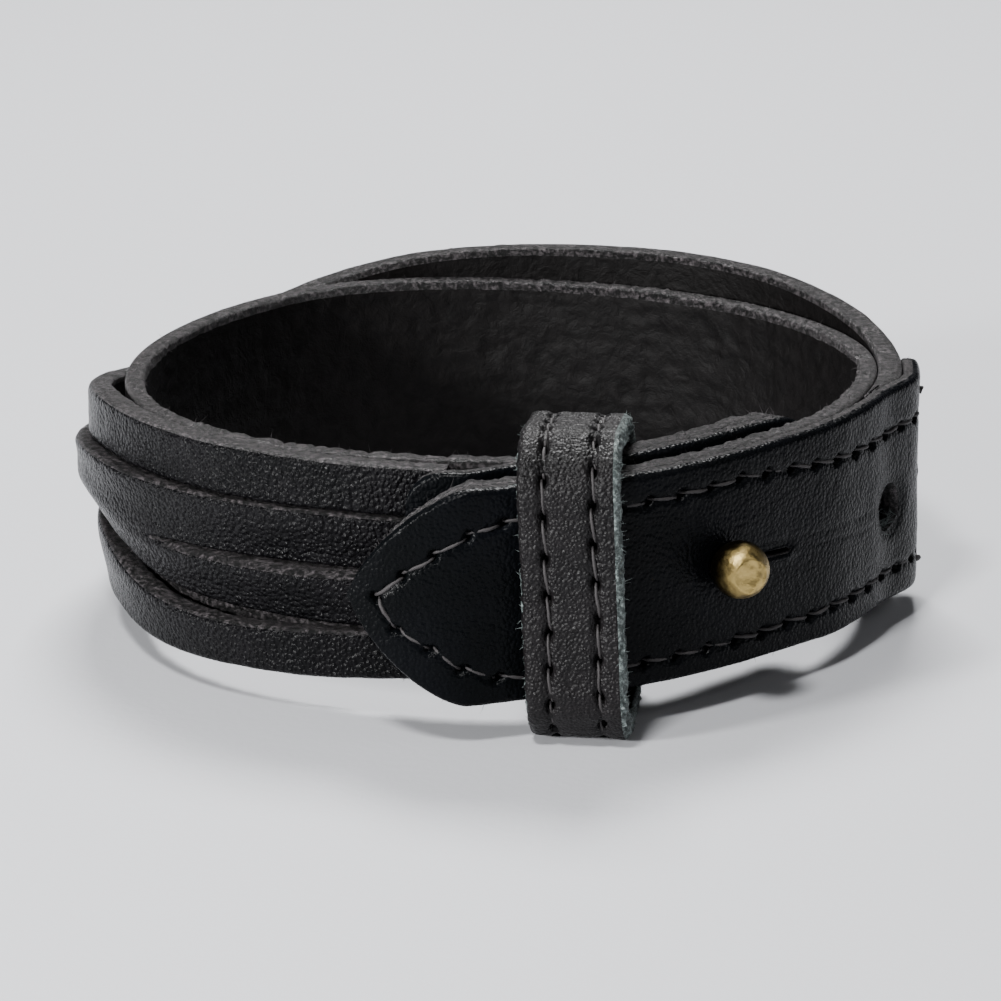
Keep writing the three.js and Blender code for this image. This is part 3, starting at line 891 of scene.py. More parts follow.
def corner_cut(distance: np.ndarray, radius: float) -> np.ndarray:
    """How much a rounded corner takes off an edge, at a distance from the leather's end."""
    along = radius - np.clip(distance, radius * 0.02, radius)
    return radius - np.sqrt(radius * radius - along * along)


@dataclass
class Lining:
    """The inner leather: the whole strap's length, flesh side to the wrist."""

    hollow: Hollow
    finishes: Finishes
    start: float = Hollow.START
    end: float = Hollow.END
    tip_length: float = 8.6
    tip_taper: float = 1.4
    tip_fullness: float = 0.72
    nose_share: float = 0.006  # where the nose is cut square, as a share of the tip's length
    end_corner: float = 4.0
    nose_turns: float = 20.0  # turns before the tip's end where stations are closer together
    wrinkle_depth: float = 0.10
    wave_depth: float = 0.12
    edge_roughness: float = 0.13

    def tip_share(self, turn: np.ndarray) -> np.ndarray:
        """Share of the half height that the pointed tip keeps."""
        reach = np.radians(self.end - turn) * self.hollow.inner(np.array(self.end))
        along = np.clip(reach / self.tip_length, self.nose_share, 1)
        return (1 - (1 - along) ** self.tip_taper) ** self.tip_fullness

    def edge(self, turn: np.ndarray, side: float) -> np.ndarray:
        """Height of the strap's lower (-1) or upper (1) edge with its pointed tip."""
        foot = self.hollow.foot(turn)
        top = self.hollow.top(turn)
        return (foot + top) / 2 + side * (top - foot) / 2 * self.tip_share(turn)

    def end_cut(self, turn: np.ndarray) -> np.ndarray:
        """What the inner end's rounded corners take off its edges."""
        reach = np.radians(turn - self.start) * self.hollow.inner(np.array(self.start))
        return corner_cut(reach, self.end_corner)

    def stations(self, start: float, step: float) -> np.ndarray:
        """Turns from a start to the tip, closer together at the nose."""
        body = even_turns(start, self.end - self.nose_turns, step)
        nose = self.end - self.nose_turns * (1 - np.linspace(0, 1, 110)) ** 1.6
        return np.concatenate([body[:-1], nose])

    def build(self) -> None:
        """Builds and dresses the lining."""
        coarse = Mottle(3)
        fine = Mottle(4)

        def relief(length: np.ndarray, height: np.ndarray, _: np.ndarray, side: np.ndarray) -> np.ndarray:
            wrinkle = self.wrinkle_depth * (1 - 2 * np.abs(coarse.rough(length / 2.2, height / 1.5, 3)))
            wave = self.wave_depth * coarse.at(length / 9.0, height / 7.0)
            edge = self.edge_roughness * fine.rough(length / 0.5, height / 0.5 + 9, 2)
            return np.where(side == Side.CUT_EDGE, edge, np.where(side == Side.FLESH, wrinkle + wave, 0))

        rounded_end = self.start + 9 * np.linspace(0, 1, 30) ** 1.8
        turns = np.concatenate([rounded_end, self.stations(self.start + 9.5, 0.75)])
        piece = Leather(
            "lining_leather", self.hollow, turns, self.hollow.inner, steady(self.hollow.LINING_WALL),
            lambda turn: self.edge(turn, -1) + self.end_cut(turn),
            lambda turn: self.edge(turn, 1) - self.end_cut(turn),
            Profile.rounded(0.3, 0.35, 44, 8, 4), relief,
        ).build()
        self.finishes.dress(piece, self.finishes.edge)
        settle(piece, "lining_leather", "lining")
        Fringe(5, 0.028, 0.55, self.finishes.lint).grow(piece, "lining_fibres", 1800, "lining_leather")


@dataclass
class OuterStrap:
    """The outer leather, slit into four strips that buckle past each other."""

    hollow: Hollow
    finishes: Finishes
    full_wall: float = 2.0
    thin_wall: float = 0.3
    stand_unit: float = 1.8
    gap: float = 0.1
    start: float = 98.0
    end: float = 379.0
    skive: tuple[float, float] = (365.0, 378.0)
    slit_end: float = 146.0
    slit_width: float = 0.16
    ledge_slope: float = 0.6  # how much of a face's direction points up where it counts as a ledge
    station_step: float = 0.55
    face_swell: float = 0.09
    face_ripple: float = 0.025
    edge_roughness: float = 0.07
    lower_out: float = 0.65  # how far the edge under the slit stands out
    upper_in: float = 0.55  # how far the edge over it sinks in
    middle_proud: float = 0.35
    slit_depth_share: float = 0.8
    lower_lip: float = 0.62
    upper_lip: float = 0.30
    upper_lip_reach: float = 0.35
    crease_depth: float = 0.10

    FRONT_SHARES = (0.24, 0.497, 0.763)  # foot, slit and top of the middle strips at the front

    # turn, foot and top as shares of the strap's height, stand off the lining as a share of the wall
    TABLE = (
        (90, 0.210, 1.160, 0.00), (105, 0.200, 1.165, 0.00), (120, 0.178, 1.170, 0.00),
        (135, 0.162, 1.172, 0.00), (150, 0.155, 1.172, 0.05), (165, 0.185, 1.148, 0.30),
        (180, 0.210, 1.068, 0.70), (190, 0.210, 1.010, 0.75), (200, 0.195, 0.957, 0.65),
        (212, 0.165, 0.955, 0.40), (225, 0.145, 1.015, 0.22), (240, 0.135, 1.110, 0.10),
        (255, 0.140, 1.200, 0.10), (270, 0.152, 1.248, 0.20), (285, 0.162, 1.260, 0.45),
        (300, 0.168, 1.265, 0.60), (315, 0.166, 1.258, 0.45), (330, 0.158, 1.232, 0.12),
        (345, 0.148, 1.190, 0.00), (360, 0.145, 1.155, 0.00), (380, 0.150, 1.150, 0.00),
    )
    # turn, then shares of the strap's height: end of the bottom strip, start of the middle ones,
    # the slit between them and the slit under the top strip
    SLITS = (
        (90, 0.220, 0.230, 0.497, 0.763), (115, 0.222, 0.240, 0.497, 0.763),
        (132, 0.215, 0.258, 0.497, 0.763), (145, 0.240, 0.300, 0.497, 0.763),
        (155, 0.285, 0.365, 0.497, 0.760), (165, 0.335, 0.405, 0.497, 0.750),
        (180, 0.360, 0.402, 0.497, 0.725), (200, 0.305, 0.345, 0.497, 0.720),
        (215, 0.240, 0.280, 0.497, 0.745), (230, 0.215, 0.230, 0.497, 0.763),
        (380, 0.215, 0.225, 0.497, 0.763),
    )
    # turn, outward bulge of the bottom and the middle strips as shares of the wall, and how far
    # in millimetres the middle ones' lower edge curls in and the bottom strip's foot tucks in
    BULGE = (
        (90, 0.00, 0.00, 0.0, 0.2), (105, 0.15, 0.00, 0.0, 0.2), (120, 0.40, 0.00, 0.2, 0.3),
        (135, 0.40, 0.05, 0.5, 0.5), (150, 0.10, 0.35, 0.9, 0.7), (160, -0.05, 0.50, 1.1, 0.8),
        (170, -0.20, 0.56, 1.1, 0.8), (180, -0.45, 0.55, 0.9, 0.7), (200, -0.40, 0.45, 0.6, 0.4),
        (225, 0.00, 0.15, 0.1, 0.1), (250, 0.00, 0.00, 0.0, 0.0), (380, 0.00, 0.00, 0.0, 0.0),
    )

    def __post_init__(self) -> None:
        """Reads the tables."""
        self.foot = Column(self.TABLE, 1)
        self.top = Column(self.TABLE, 2)
        self.stand = Column(self.TABLE, 3)
        self.below = Column(self.SLITS, 1)
        self.above = Column(self.SLITS, 2)
        self.parting = Column(self.SLITS, 3)
        self.high = Column(self.SLITS, 4)
        self.low_bulge = Column(self.BULGE, 1)
        self.middle_bulge = Column(self.BULGE, 2)
        self.curl = Column(self.BULGE, 3)
        self.tuck = Column(self.BULGE, 4)

    def wall(self, turn: np.ndarray) -> np.ndarray:
        """Thickness of the strips, which is pared down where the tab covers their ends."""
        left = 1 - smooth_step(turn, *self.skive)
        return self.thin_wall + (self.full_wall - self.thin_wall) * left

    def edge(self, turn: np.ndarray, share: np.ndarray) -> np.ndarray:
        """Height of a line at a share of the outer strap's height."""
        foot = self.foot(turn)
        return Hollow.HEIGHT * (foot + (self.top(turn) - foot) * share)

    def inner(self, turn: np.ndarray, bulge: Curve) -> np.ndarray:
        """Inner face of a strip."""
        out = self.stand(turn) + bulge(turn)
        return self.hollow.outer(turn) + self.gap + self.stand_unit * np.maximum(0, out)

    def relief(self, seed: int) -> Relief:
        """Small waves of the faces and rough cut edges."""
        wave = Mottle(seed)

        def depth(length: np.ndarray, height: np.ndarray, _: np.ndarray, side: np.ndarray) -> np.ndarray:
            swell = self.face_swell * wave.at(length / 7.0, height / 5.0)
            swell = swell + self.face_ripple * wave.rough(length / 1.6, height / 1.2, 2)
            edge = self.edge_roughness * wave.rough(length / 0.42, height / 0.4, 2)
            return np.where(side == Side.CUT_EDGE, edge, np.where(side == Side.GRAIN, swell, 0))

        return depth

    def plain_strip(self, name: str, low: Curve, high: Curve, bulge: Curve, seed: int,
                    lean: Curve) -> bpy.types.Object:
        """Builds the top or the bottom strip.

        Args:
            name: the piece's name.
            low: height of its lower edge, by turn.
            high: height of its upper edge.
            bulge: outward bulge.
            seed: picks its waves.
            lean: how far its foot is tucked in.

        Returns:
            The mesh object.
        """
        return Leather(
            name, self.hollow, even_turns(self.start, self.end, self.station_step),
            lambda turn: self.inner(turn, bulge), self.wall, low, high,
            Profile.rounded(0.5, 0.3, 22, 8, 7, 10), self.relief(seed),
            lambda turn, share: -lean(turn) * (1 - smooth_step(share, 0.0, 0.9)),
        ).build()

    def build(self) -> None:
        """Builds and dresses the three strips."""
        half = self.slit_width / 2
        none = steady(0)
        top = self.plain_strip(
            "top_strip", lambda turn: self.edge(turn, self.high(turn)) + half,
            lambda turn: self.edge(turn, 1.0), none, 11, none,
        )
        bottom = self.plain_strip(
            "bottom_strip", lambda turn: self.edge(turn, 0.0),
            lambda turn: self.edge(turn, self.below(turn)) - half, self.low_bulge, 12, self.tuck,
        )
        joined = self.joined_strips()
        for piece, node in ((top, "strip_top"), (joined, "strip_middle"), (bottom, "strip_bottom")):
            self.bare_ledges(piece)
            self.finishes.dress(piece, self.finishes.strap)
            settle(piece, "strip_leather", node)

    def bare_ledges(self, piece: bpy.types.Object) -> None:
        """Shows the cut edge wherever a strip's outer side faces up."""
        faces = piece.data.polygons
        facing = np.zeros(len(faces) * 3)
        kind = np.zeros(len(faces), np.int32)
        faces.foreach_get("normal", facing)
        faces.foreach_get("material_index", kind)
        kind[(kind == Side.GRAIN) & (facing[2::3] > self.ledge_slope)] = Side.CUT_EDGE
        faces.foreach_set("material_index", kind)

    def joined_strips(self) -> bpy.types.Object:
        """Builds the two middle strips, one leather that parts at a slit.

        Returns:
            The mesh object.
        """
        half = self.slit_width / 2
        front_foot, front_slit, front_top = self.FRONT_SHARES

        def low(turn: np.ndarray) -> np.ndarray:
            return self.edge(turn, self.above(turn)) + half

        def high(turn: np.ndarray) -> np.ndarray:
            return self.edge(turn, self.high(turn)) - half

        def parting(turn: np.ndarray) -> np.ndarray:
            return (self.edge(turn, self.parting(turn)) - low(turn)) / (high(turn) - low(turn))

        def slit_open(turn: np.ndarray) -> np.ndarray:
            return 1 - smooth_step(turn, self.slit_end - 7, self.slit_end)

        def shift(turn: np.ndarray, share: np.ndarray) -> np.ndarray:
            at = parting(turn)
            below = self.lower_out * smooth_step(share, at - 0.5, at - 0.02) * (share < at)
            above = -self.upper_in * (1 - smooth_step(share, at + 0.02, at + 0.4)) * (share >= at)
            proud = self.middle_proud * smooth_step(share, 0.6, 1.0)
            curl = -self.curl(turn) * (1 - smooth_step(share, 0.0, 0.5)) ** 1.5
            fade = 1 - smooth_step(turn, self.slit_end - 26, self.slit_end + 4)
            return fade * (below + above) + proud * bump(turn, 150, 34) + curl

        relief = self.relief(13)

        def grooved(length: np.ndarray, height: np.ndarray, share: np.ndarray,
                    side: np.ndarray) -> np.ndarray:
            turn = self.hollow.turn_at(length)
            away = np.abs(share - parting(turn)) * (high(turn) - low(turn))
            under = share < parting(turn)
            cut = self.full_wall * self.slit_depth_share * (1 - smooth_step(away, half * 0.8, half * 1.6))
            lip_reach = np.where(under, self.lower_lip, self.upper_lip_reach)
            lip = np.where(under, self.lower_lip, self.upper_lip) * (1 - smooth_step(away, half, lip_reach))
            crease = self.crease_depth * bump(away, 0, 0.35) * bump(turn, self.slit_end + 1, 4)
            opened = (cut + lip) * slit_open(turn) + crease
            return relief(length, height, share, side) - opened * (side == Side.GRAIN)

        slit_at = (front_slit - front_foot) / (front_top - front_foot)
        profile = self.denser(Profile.rounded(0.5, 0.3, 70, 8, 7, 20), slit_at)
        return Leather(
            "middle_strips", self.hollow, even_turns(self.start, self.end, self.station_step),
            lambda turn: self.inner(turn, self.middle_bulge), self.wall, low, high,
            profile, grooved, shift,
        ).build()

    def denser(self, plain: Profile, at: float) -> Profile:
        """Draws a profile's outer points together round the slit.

        Args:
            plain: the even profile.
            at: the slit's share of the profile's height.

        Returns:
            A profile with the same points, closer at the slit.
        """
        share = plain.height_share.astype(float)
        step = np.arange(len(share))
        face = (plain.side == Side.GRAIN) & (plain.out == 1) & (plain.up == 0)
        inside = face & (step > step[face].min()) & (step < step[face].max())
        even = (step[inside] - step[face].min()) / (step[face].max() - step[face].min())
        offset = even - at
        reach = np.where(offset > 0, 1 - at, at)
        bent = at + np.sign(offset) * reach * (np.abs(offset) / reach) ** 1.7
        moved = plain.height_mm.astype(float)
        share[inside] = bent
        moved[inside] = (1 - 2 * bent) * plain.height_mm[face][0]
        return Profile(plain.wall_share, plain.wall_mm, share, moved, plain.out, plain.up, plain.side)


@dataclass
class Tabs:
    """The closing tab's smooth outer face, and the stud tab's under it."""

    hollow: Hollow
    finishes: Finishes
    lining: Lining
    strap: OuterStrap
    face_wall: float = 1.42
    gap: float = 0.08
    pointed_start: float = 355.0
    start_corner: float = 1.3
    stud_end: float = 103.0
    stud_corner: float = 2.6
    stitch_pitch: float = 3.0
    stitch_length: float = 2.65
    stitch_slant: float = 0.13
    seam_turn: float = 360.6
    stud_turn: float = 57.2
    hole_turn: float = 15.5
    hole_drop: float = 1.2
    keyhole_radius: float = 1.7
    slit_length: float = 7.2
    slit_fall: float = 0.5
    slit_width: float = 0.6
    hole_radius: float = 1.9
    thread_end_drops: tuple[float, float] = (1.8, 16.2)
    seam_reach: float = 1.5
    groove_depth: float = 0.17
    groove_reach: float = 0.34
    stitch_hole_depth: float = 0.60
    stitch_hole_reach: float = 0.27
    fold_pitch: float = 0.62
    fold_depth: float = 0.035
    crease_depth: float = 0.06
    lip_height: float = 0.32
    rim_depth: float = 0.22
    punch_reach: tuple[float, float] = (-3.0, 5.0)  # how far a punch stands in and out of the lining's face
    wave: Mottle = field(default_factory=lambda: Mottle(31))

    # distance from the tip's nose, seam over and seam under the tab's middle line, in millimetres
    SEAM = (
        (1.9, 0.0, 0.0), (3.3, 1.25, 2.1), (6.0, 3.2, 3.9), (8.0, 4.5, 5.2), (10.0, 5.6, 6.3),
        (12.6, 6.0, 6.75), (20.0, 6.25, 6.75), (27.0, 6.4, 6.7), (33.0, 6.6, 6.6), (44.0, 5.7, 6.5),
        (58.0, 5.6, 6.4), (70.0, 5.6, 6.4),
    )
    # each long crease's height over the keyhole's line at the slit, and over it at the spare hole
    CREASES = ((0.4, 0.3), (-0.3, -1.2))

    def over_strips(self, turn: np.ndarray) -> np.ndarray:
        """How much further out a face lies where it covers the strips' ends."""
        return self.strap.wall(turn) + self.strap.gap

    def pointed_inner(self, turn: np.ndarray) -> np.ndarray:
        """Inner face of the pointed tab's face."""
        settle_in = smooth_step(turn, self.strap.end - 3, self.strap.end + 10)
        return self.hollow.outer(turn) + self.gap + self.over_strips(turn) * (1 - settle_in)

    def pointed_edge(self, turn: np.ndarray, side: float) -> np.ndarray:
        """Lower (-1) or upper (1) edge of the pointed tab's face."""
        reach = np.radians(turn - self.pointed_start) * self.hollow.inner(turn)
        return self.lining.edge(turn, side) - side * corner_cut(reach, self.start_corner)

    def hole_height(self) -> float:
        """Height of the keyhole and the spare hole."""
        turn = np.array(FULL_TURN + self.stud_turn)
        return float((self.hollow.foot(turn) + self.hollow.top(turn)) / 2)

    def border(self) -> list[tuple[float, float]]:
        """The line of the tab's border seam, from its upper right corner round the tip and up again."""
        points = []
        stations = np.concatenate([np.arange(self.seam_turn, 455, 0.25), np.linspace(455, 468, 300)])
        end = self.hollow.length(np.array(self.lining.end - 0.3))
        for column, side in ((1, 1), (2, -1)):
            turn = stations if side > 0 else stations[::-1]
            left = end - self.hollow.length(turn)
            middle = (self.hollow.top(turn) + self.hollow.foot(turn)) / 2
            height = middle + side * Column(self.SEAM, column)(left)
            keep = left >= self.SEAM[0][0]
            points.extend(zip(turn[keep], height[keep]))
        low = points[-1][1]
        high = points[0][1]
        points.extend((self.seam_turn, low + (high - low) * step / 60) for step in range(1, 60))
        return points

    def surface(self, turn: float, height: float) -> tuple[np.ndarray, np.ndarray]:
        """A point of the pointed tab's face and its outward direction."""
        at = np.array(turn)
        radius = self.pointed_inner(at) + self.face_wall
        point = self.hollow.place(at, radius, np.array(height))
        ahead = self.hollow.place(at + 0.2, self.pointed_inner(at + 0.2) + self.face_wall, np.array(height))
        along = ahead - point
        outward = np.cross(along, UP)
        outward /= np.linalg.norm(outward)
        angle = np.radians(turn)
        if outward @ np.array([math.cos(angle), -math.sin(angle), 0]) < 0:
            outward = -outward
        return point, outward

    def stitch_holes(self) -> list[tuple[float, float]]:
        """Border holes a pitch apart."""
        track = self.border()
        spots = np.array([self.surface(turn, height)[0] for turn, height in track])
        run = np.concatenate([[0], np.cumsum(np.linalg.norm(np.diff(spots, axis=0), axis=1))])
        count = int(run[-1] // self.stitch_pitch)
        marks = np.linspace(1.0, run[-1] - 1.0, count + 1)
        turns = np.interp(marks, run, [t for t, _ in track])
        heights = np.interp(marks, run, [h for _, h in track])
        return list(zip(turns, heights))

    def build_stitches(self) -> list[tuple[float, float, float, float]]:
        """Lays the border's stitches and returns each one's ends as turns and heights."""
        holes = self.stitch_holes()
        tubes = Tubes(Stitch.sides)
        stitch = Stitch()
        ends = []
        share = self.stitch_length / self.stitch_pitch
        draw = np.random.default_rng(21)
        for (turn_a, high_a), (turn_b, high_b) in zip(holes[:-1], holes[1:]):
            spare = (1 - share) / 2
            reach = math.radians(turn_b - turn_a) * Hollow.RADIUS
            rise = high_b - high_a
            span = math.hypot(reach, rise)
            slant = self.stitch_slant * draw.normal(1, 0.5)
            aside = np.array([math.degrees(-rise / span * slant / Hollow.RADIUS), reach / span * slant])
            first = np.array([turn_a + (turn_b - turn_a) * spare, high_a + rise * spare]) - aside
            last = np.array([turn_b - (turn_b - turn_a) * spare, high_b - rise * spare]) + aside
            start, outward = self.surface(*first)
            end, _ = self.surface(*last)
            sunk = stitch.bed * outward
            stitch.lay(tubes, start - sunk, end - sunk, outward, draw)
            ends.append((*first, *last))
        for drop in self.thread_end_drops:
            height = self.hollow.top(np.array(self.seam_turn)) - drop
            start, outward = self.surface(self.seam_turn + 3.0, float(height))
            self.thread_end(tubes, start, outward, draw)
        piece = tubes.build("border_stitches")
        piece.data.materials.append(self.finishes.thread)
        settle(piece, "thread")
        return ends

    def thread_end(self, tubes: Tubes, start: np.ndarray, outward: np.ndarray,
                   draw: np.random.Generator) -> None:
        """Leaves a short knotted end of thread that stands off the leather.

        Args:
            tubes: where it is gathered.
            start: where it comes out.
            outward: the leather's outward direction there.
            draw: seeded random numbers.
        """
        share = np.linspace(0, 1, 12)[:, None]
        heading = outward + np.array([0, 0, draw.uniform(-0.5, 0.5)])
        curl = draw.normal(0, 0.3, 3) * np.sin(np.pi * share)
        path = start - 0.2 * outward + heading * 0.4 * share + curl
        tubes.add(path, 0.32 - 0.08 * share[:, 0], twist=1.0, plies=2)

    def length_at(self, turn: float) -> float:
        """Distance along the strap at a turn of its outer winding."""
        return float(self.hollow.length(np.array(FULL_TURN + turn)))

    def seam_groove(self, spots: np.ndarray, length: np.ndarray, height: np.ndarray) -> np.ndarray:
        """The groove that the thread pulls into the face, with a hole at each stitch's ends.

        Args:
            spots: length and height of each stitch's two holes, one after the other.
            length: distance along the strap of each surface point.
            height: height of each surface point.

        Returns:
            Depth at each point.
        """
        depth = np.zeros(length.shape)
        nearest = np.full(length.shape, FAR)
        for start, end in zip(spots[0::2], spots[1::2]):
            low = min(start[0], end[0]) - self.seam_reach
            high = max(start[0], end[0]) + self.seam_reach
            rows = np.where((length[:, 0] > low) & (length[:, 0] < high))[0]
            if not len(rows):
                continue
            window = slice(rows[0], rows[-1] + 1)
            here = np.stack([length[window], height[window]], axis=-1)
            step = end - start
            share = np.clip((here - start) @ step / (step @ step), 0, 1)
            gone = np.linalg.norm(here - start - share[..., None] * step, axis=-1)
            nearest[window] = np.minimum(nearest[window], gone)
            for hole in (start, end):
                away = np.linalg.norm(here - hole, axis=-1)
                depth[window] += self.stitch_hole_depth * bump(away, 0, self.stitch_hole_reach)
        return depth + self.groove_depth * bump(nearest, 0, self.groove_reach)

    def stud_wear(self, length: np.ndarray, height: np.ndarray) -> np.ndarray:
        """The ring that the ball presses into the face, and the fine folds over it."""
        stud_at = self.length_at(self.stud_turn)
        level = self.hole_height()
        ring = 0.10 * bump(np.hypot(length - stud_at, (height - level) * 1.15), 1.9, 0.8)
        drift = self.wave.at(length / 2.0, height / 2.0)
        folds = np.cos(2 * np.pi * (height - 0.1 * (length - stud_at)) / self.fold_pitch + drift)
        near = bump(length, stud_at - 1.2, 1.7) * bump(height, level + 3.1, 1.1)
        return self.fold_depth * folds * near - ring

    def creases(self, length: np.ndarray, height: np.ndarray) -> np.ndarray:
        """Two long creases from the keyhole's slit to the spare hole."""
        spare_at = self.length_at(self.hole_turn)
        slit_at = self.length_at(self.stud_turn) - self.slit_length
        share = np.clip((length - spare_at) / (slit_at - spare_at), 0, 1)
        level = self.hole_height() - self.hole_drop
        total = np.zeros(length.shape)
        for rise, fall in self.CREASES:
            line = level + fall + (self.hole_drop + rise - fall) * share
            line = line + 0.35 * self.wave.at(length / 1.7, 0 * height + rise)
            total -= self.crease_depth * bump(height, line, 0.22) * np.sin(np.pi * share) ** 0.5
        return total

    def hole_rims(self, length: np.ndarray, height: np.ndarray) -> np.ndarray:
        """The slit's proud lower lip and sunk upper one, and the sunk rim of the spare hole."""
        stud_at = self.length_at(self.stud_turn)
        level = self.hole_height()
        far = stud_at - self.slit_length
        line = level - self.slit_fall * (stud_at - length) / self.slit_length
        lip = bump(height, line - 0.5, 0.28) - 0.8 * bump(height, line + 0.5, 0.4)
        lip = self.lip_height * lip * smooth_step(length, far - 0.6, far + 0.8) * (length < stud_at)
        spare = np.hypot(length - self.length_at(self.hole_turn), (height - level + self.hole_drop) * 0.9)
        return lip - self.rim_depth * bump(spare, self.hole_radius, 0.55)

    def build_pointed(self, ends: list[tuple[float, float, float, float]]) -> None:
        """Builds the pointed tab's face with its groove, holes and creases.

        Args:
            ends: each stitch's two holes, as turn, height, turn, height.
        """
        holes = np.array(ends).reshape(-1, 2)
        spots = np.stack([self.hollow.length(holes[:, 0]), holes[:, 1]], axis=1)

        def relief(length: np.ndarray, height: np.ndarray, _: np.ndarray, side: np.ndarray) -> np.ndarray:
            swell = 0.07 * self.wave.at(length / 8.0, height / 6.0)
            swell = swell + 0.02 * self.wave.rough(length / 1.5, height / 1.5, 2)
            swell = swell - self.seam_groove(spots, length, height) + self.stud_wear(length, height)
            swell = swell + self.creases(length, height) + self.hole_rims(length, height)
            rough = 0.05 * self.wave.rough(length / 0.5, height / 0.4, 2)
            return np.where(side == Side.GRAIN, swell, np.where(side == Side.CUT_EDGE, rough, 0))

        start = self.pointed_start
        opening = start + 5 * np.linspace(0, 1, 40) ** 1.6
        piece = Leather(
            "pointed_tab_face", self.hollow,
            np.concatenate([opening[:-1], self.lining.stations(start + 5, 0.36)]),
            self.pointed_inner, steady(self.face_wall),
            lambda turn: self.pointed_edge(turn, -1), lambda turn: self.pointed_edge(turn, 1),
            Profile.rounded(0.55, 0.2, 92, 6, 6, 20), relief,
        ).build()
        self.finishes.dress(piece, self.finishes.tab)
        self.cut_holes(piece)
        settle(piece, "tab_leather", "pointed_tab")
        Fringe(32, 0.028, 0.5, self.finishes.lint).grow(piece, "tab_fibres", 800, "tab_leather")
        wall_middle = self.hollow.outer(np.array(FULL_TURN + self.hole_turn)) + 0.9
        low_side = self.hollow.place(self.hole_turn, wall_middle, self.hole_height() - self.hole_drop - 0.7)
        fuzz = Fringe(33, 0.03, 0.8, self.finishes.keeper_lint)
        fuzz.grow(piece, "hole_fibres", 350, "tab_leather", (low_side, 2.1))

    def cut_holes(self, piece: bpy.types.Object) -> None:
        """Cuts the keyhole and the spare hole through a leather."""
        cutters = [
            self.round_cutter(self.stud_turn, self.keyhole_radius, 0.0, 0.02, 71),
            self.round_cutter(self.hole_turn, self.hole_radius, -self.hole_drop, 0.07, 72),
            self.slit_cutter(),
        ]
        for cutter in cutters:
            change = piece.modifiers.new("cut", "BOOLEAN")
            change.operation = "DIFFERENCE"
            change.solver = "EXACT"
            change.object = cutter
        bpy.context.view_layer.update()
        graph = bpy.context.evaluated_depsgraph_get()
        cut = bpy.data.meshes.new_from_object(piece.evaluated_get(graph))
        piece.modifiers.clear()
        piece.data = cut
        for cutter in cutters:
            bpy.data.objects.remove(cutter)

    def round_cutter(self, turn: float, radius: float, rise: float, rag: float,
                     seed: int) -> bpy.types.Object:
        """A ragged round punch through the outer run.

        Args:
            turn: the hole's turn.
            radius: its radius.
            rise: how much higher than the keyhole it sits.
            rag: how ragged its edge is, as a share of the radius.
            seed: picks the rags.

        Returns:
            The punch.
        """
        draw = np.random.default_rng(seed)
        count = 40
        angle = np.linspace(0, 2 * np.pi, count, endpoint=False)
        waves = [draw.normal() * np.cos(order * angle + draw.uniform(0, 6)) / order
                 for order in range(2, 8)]
        ragged = radius * (1 + rag * np.sum(waves, axis=0))
        height = self.hole_height() + rise
        base = float(self.hollow.outer(np.array(FULL_TURN + turn)))
        across = turn + np.degrees(ragged * np.cos(angle) / base)
        return self.prism(across, height + ragged * np.sin(angle), base)

    def slit_cutter(self) -> bpy.types.Object:
        """A thin blade for the keyhole's slit."""
        base = float(self.hollow.outer(np.array(FULL_TURN + self.stud_turn)))
        far = math.degrees(self.slit_length / base)
        half = self.slit_width / 2
        along = np.array([0.0, far * 0.94, far, far * 0.94, 0.0])
        rise = np.array([-half, -half * 0.7, 0.0, half * 0.7, half])
        level = self.hole_height() - self.slit_fall * along / far
        return self.prism(self.stud_turn - along, level + rise, base)

    def prism(self, turns: np.ndarray, heights: np.ndarray, base: float) -> bpy.types.Object:
        """A closed cutter through the outer run.

        Args:
            turns: turns of the outline's points.
            heights: their heights.
            base: radius of the lining's outer face there.

        Returns:
            The cutter.
        """
        count = len(turns)
        rings = [self.hollow.place(turns, np.full(count, base + reach), heights)
                 for reach in self.punch_reach]
        faces = grid_faces(2, count, False).tolist()
        faces += [list(range(count)), list(range(count, 2 * count))]
        sides = np.full(len(faces), int(Side.CUT_EDGE))
        cutter = build_mesh("cutter", np.concatenate(rings), faces, sides)
        cutter.data.materials.append(self.finishes.tab)
        cutter.data.materials.append(self.finishes.edge)
        return cutter

    def stud_inner(self, turn: np.ndarray) -> np.ndarray:
        """Inner face of the stud tab's face."""
        rise = smooth_step(turn, self.strap.start - 11, self.strap.start - 2)
        return self.hollow.outer(turn) + self.gap + self.over_strips(turn) * rise

    def build_stud_tab(self) -> None:
        """Builds the stud tab's face."""
        wave = Mottle(41)

        def cut(turn: np.ndarray) -> np.ndarray:
            reach = np.radians(self.stud_end - turn) * self.hollow.inner(turn)
            return self.lining.end_cut(turn) + corner_cut(reach, self.stud_corner)

        def relief(length: np.ndarray, height: np.ndarray, _: np.ndarray, side: np.ndarray) -> np.ndarray:
            swell = 0.06 * wave.at(length / 6.0, height / 6.0)
            rough = 0.06 * wave.rough(length / 0.5, height / 0.4, 2)
            return np.where(side == Side.CUT_EDGE, rough, swell)

        first = self.lining.start
        stations = np.concatenate([
            first + 8 * np.linspace(0, 1, 30)[:-1] ** 1.8,
            even_turns(first + 8, self.stud_end - 6, 0.6)[:-1],
            self.stud_end - 6 * (1 - np.linspace(0, 1, 26)) ** 1.8,
        ])
        piece = Leather(
            "stud_tab_face", self.hollow, stations, self.stud_inner, steady(self.face_wall),
            lambda turn: self.hollow.foot(turn) + cut(turn),
            lambda turn: self.hollow.top(turn) - cut(turn),
            Profile.rounded(0.45, 0.2, 40, 6, 6), relief,
        ).build()
        self.finishes.dress(piece, self.finishes.tab)
        settle(piece, "tab_leather", "stud_tab")
        Fringe(42, 0.03, 0.6, self.finishes.lint).grow(piece, "stud_tab_fibres", 450, "tab_leather")


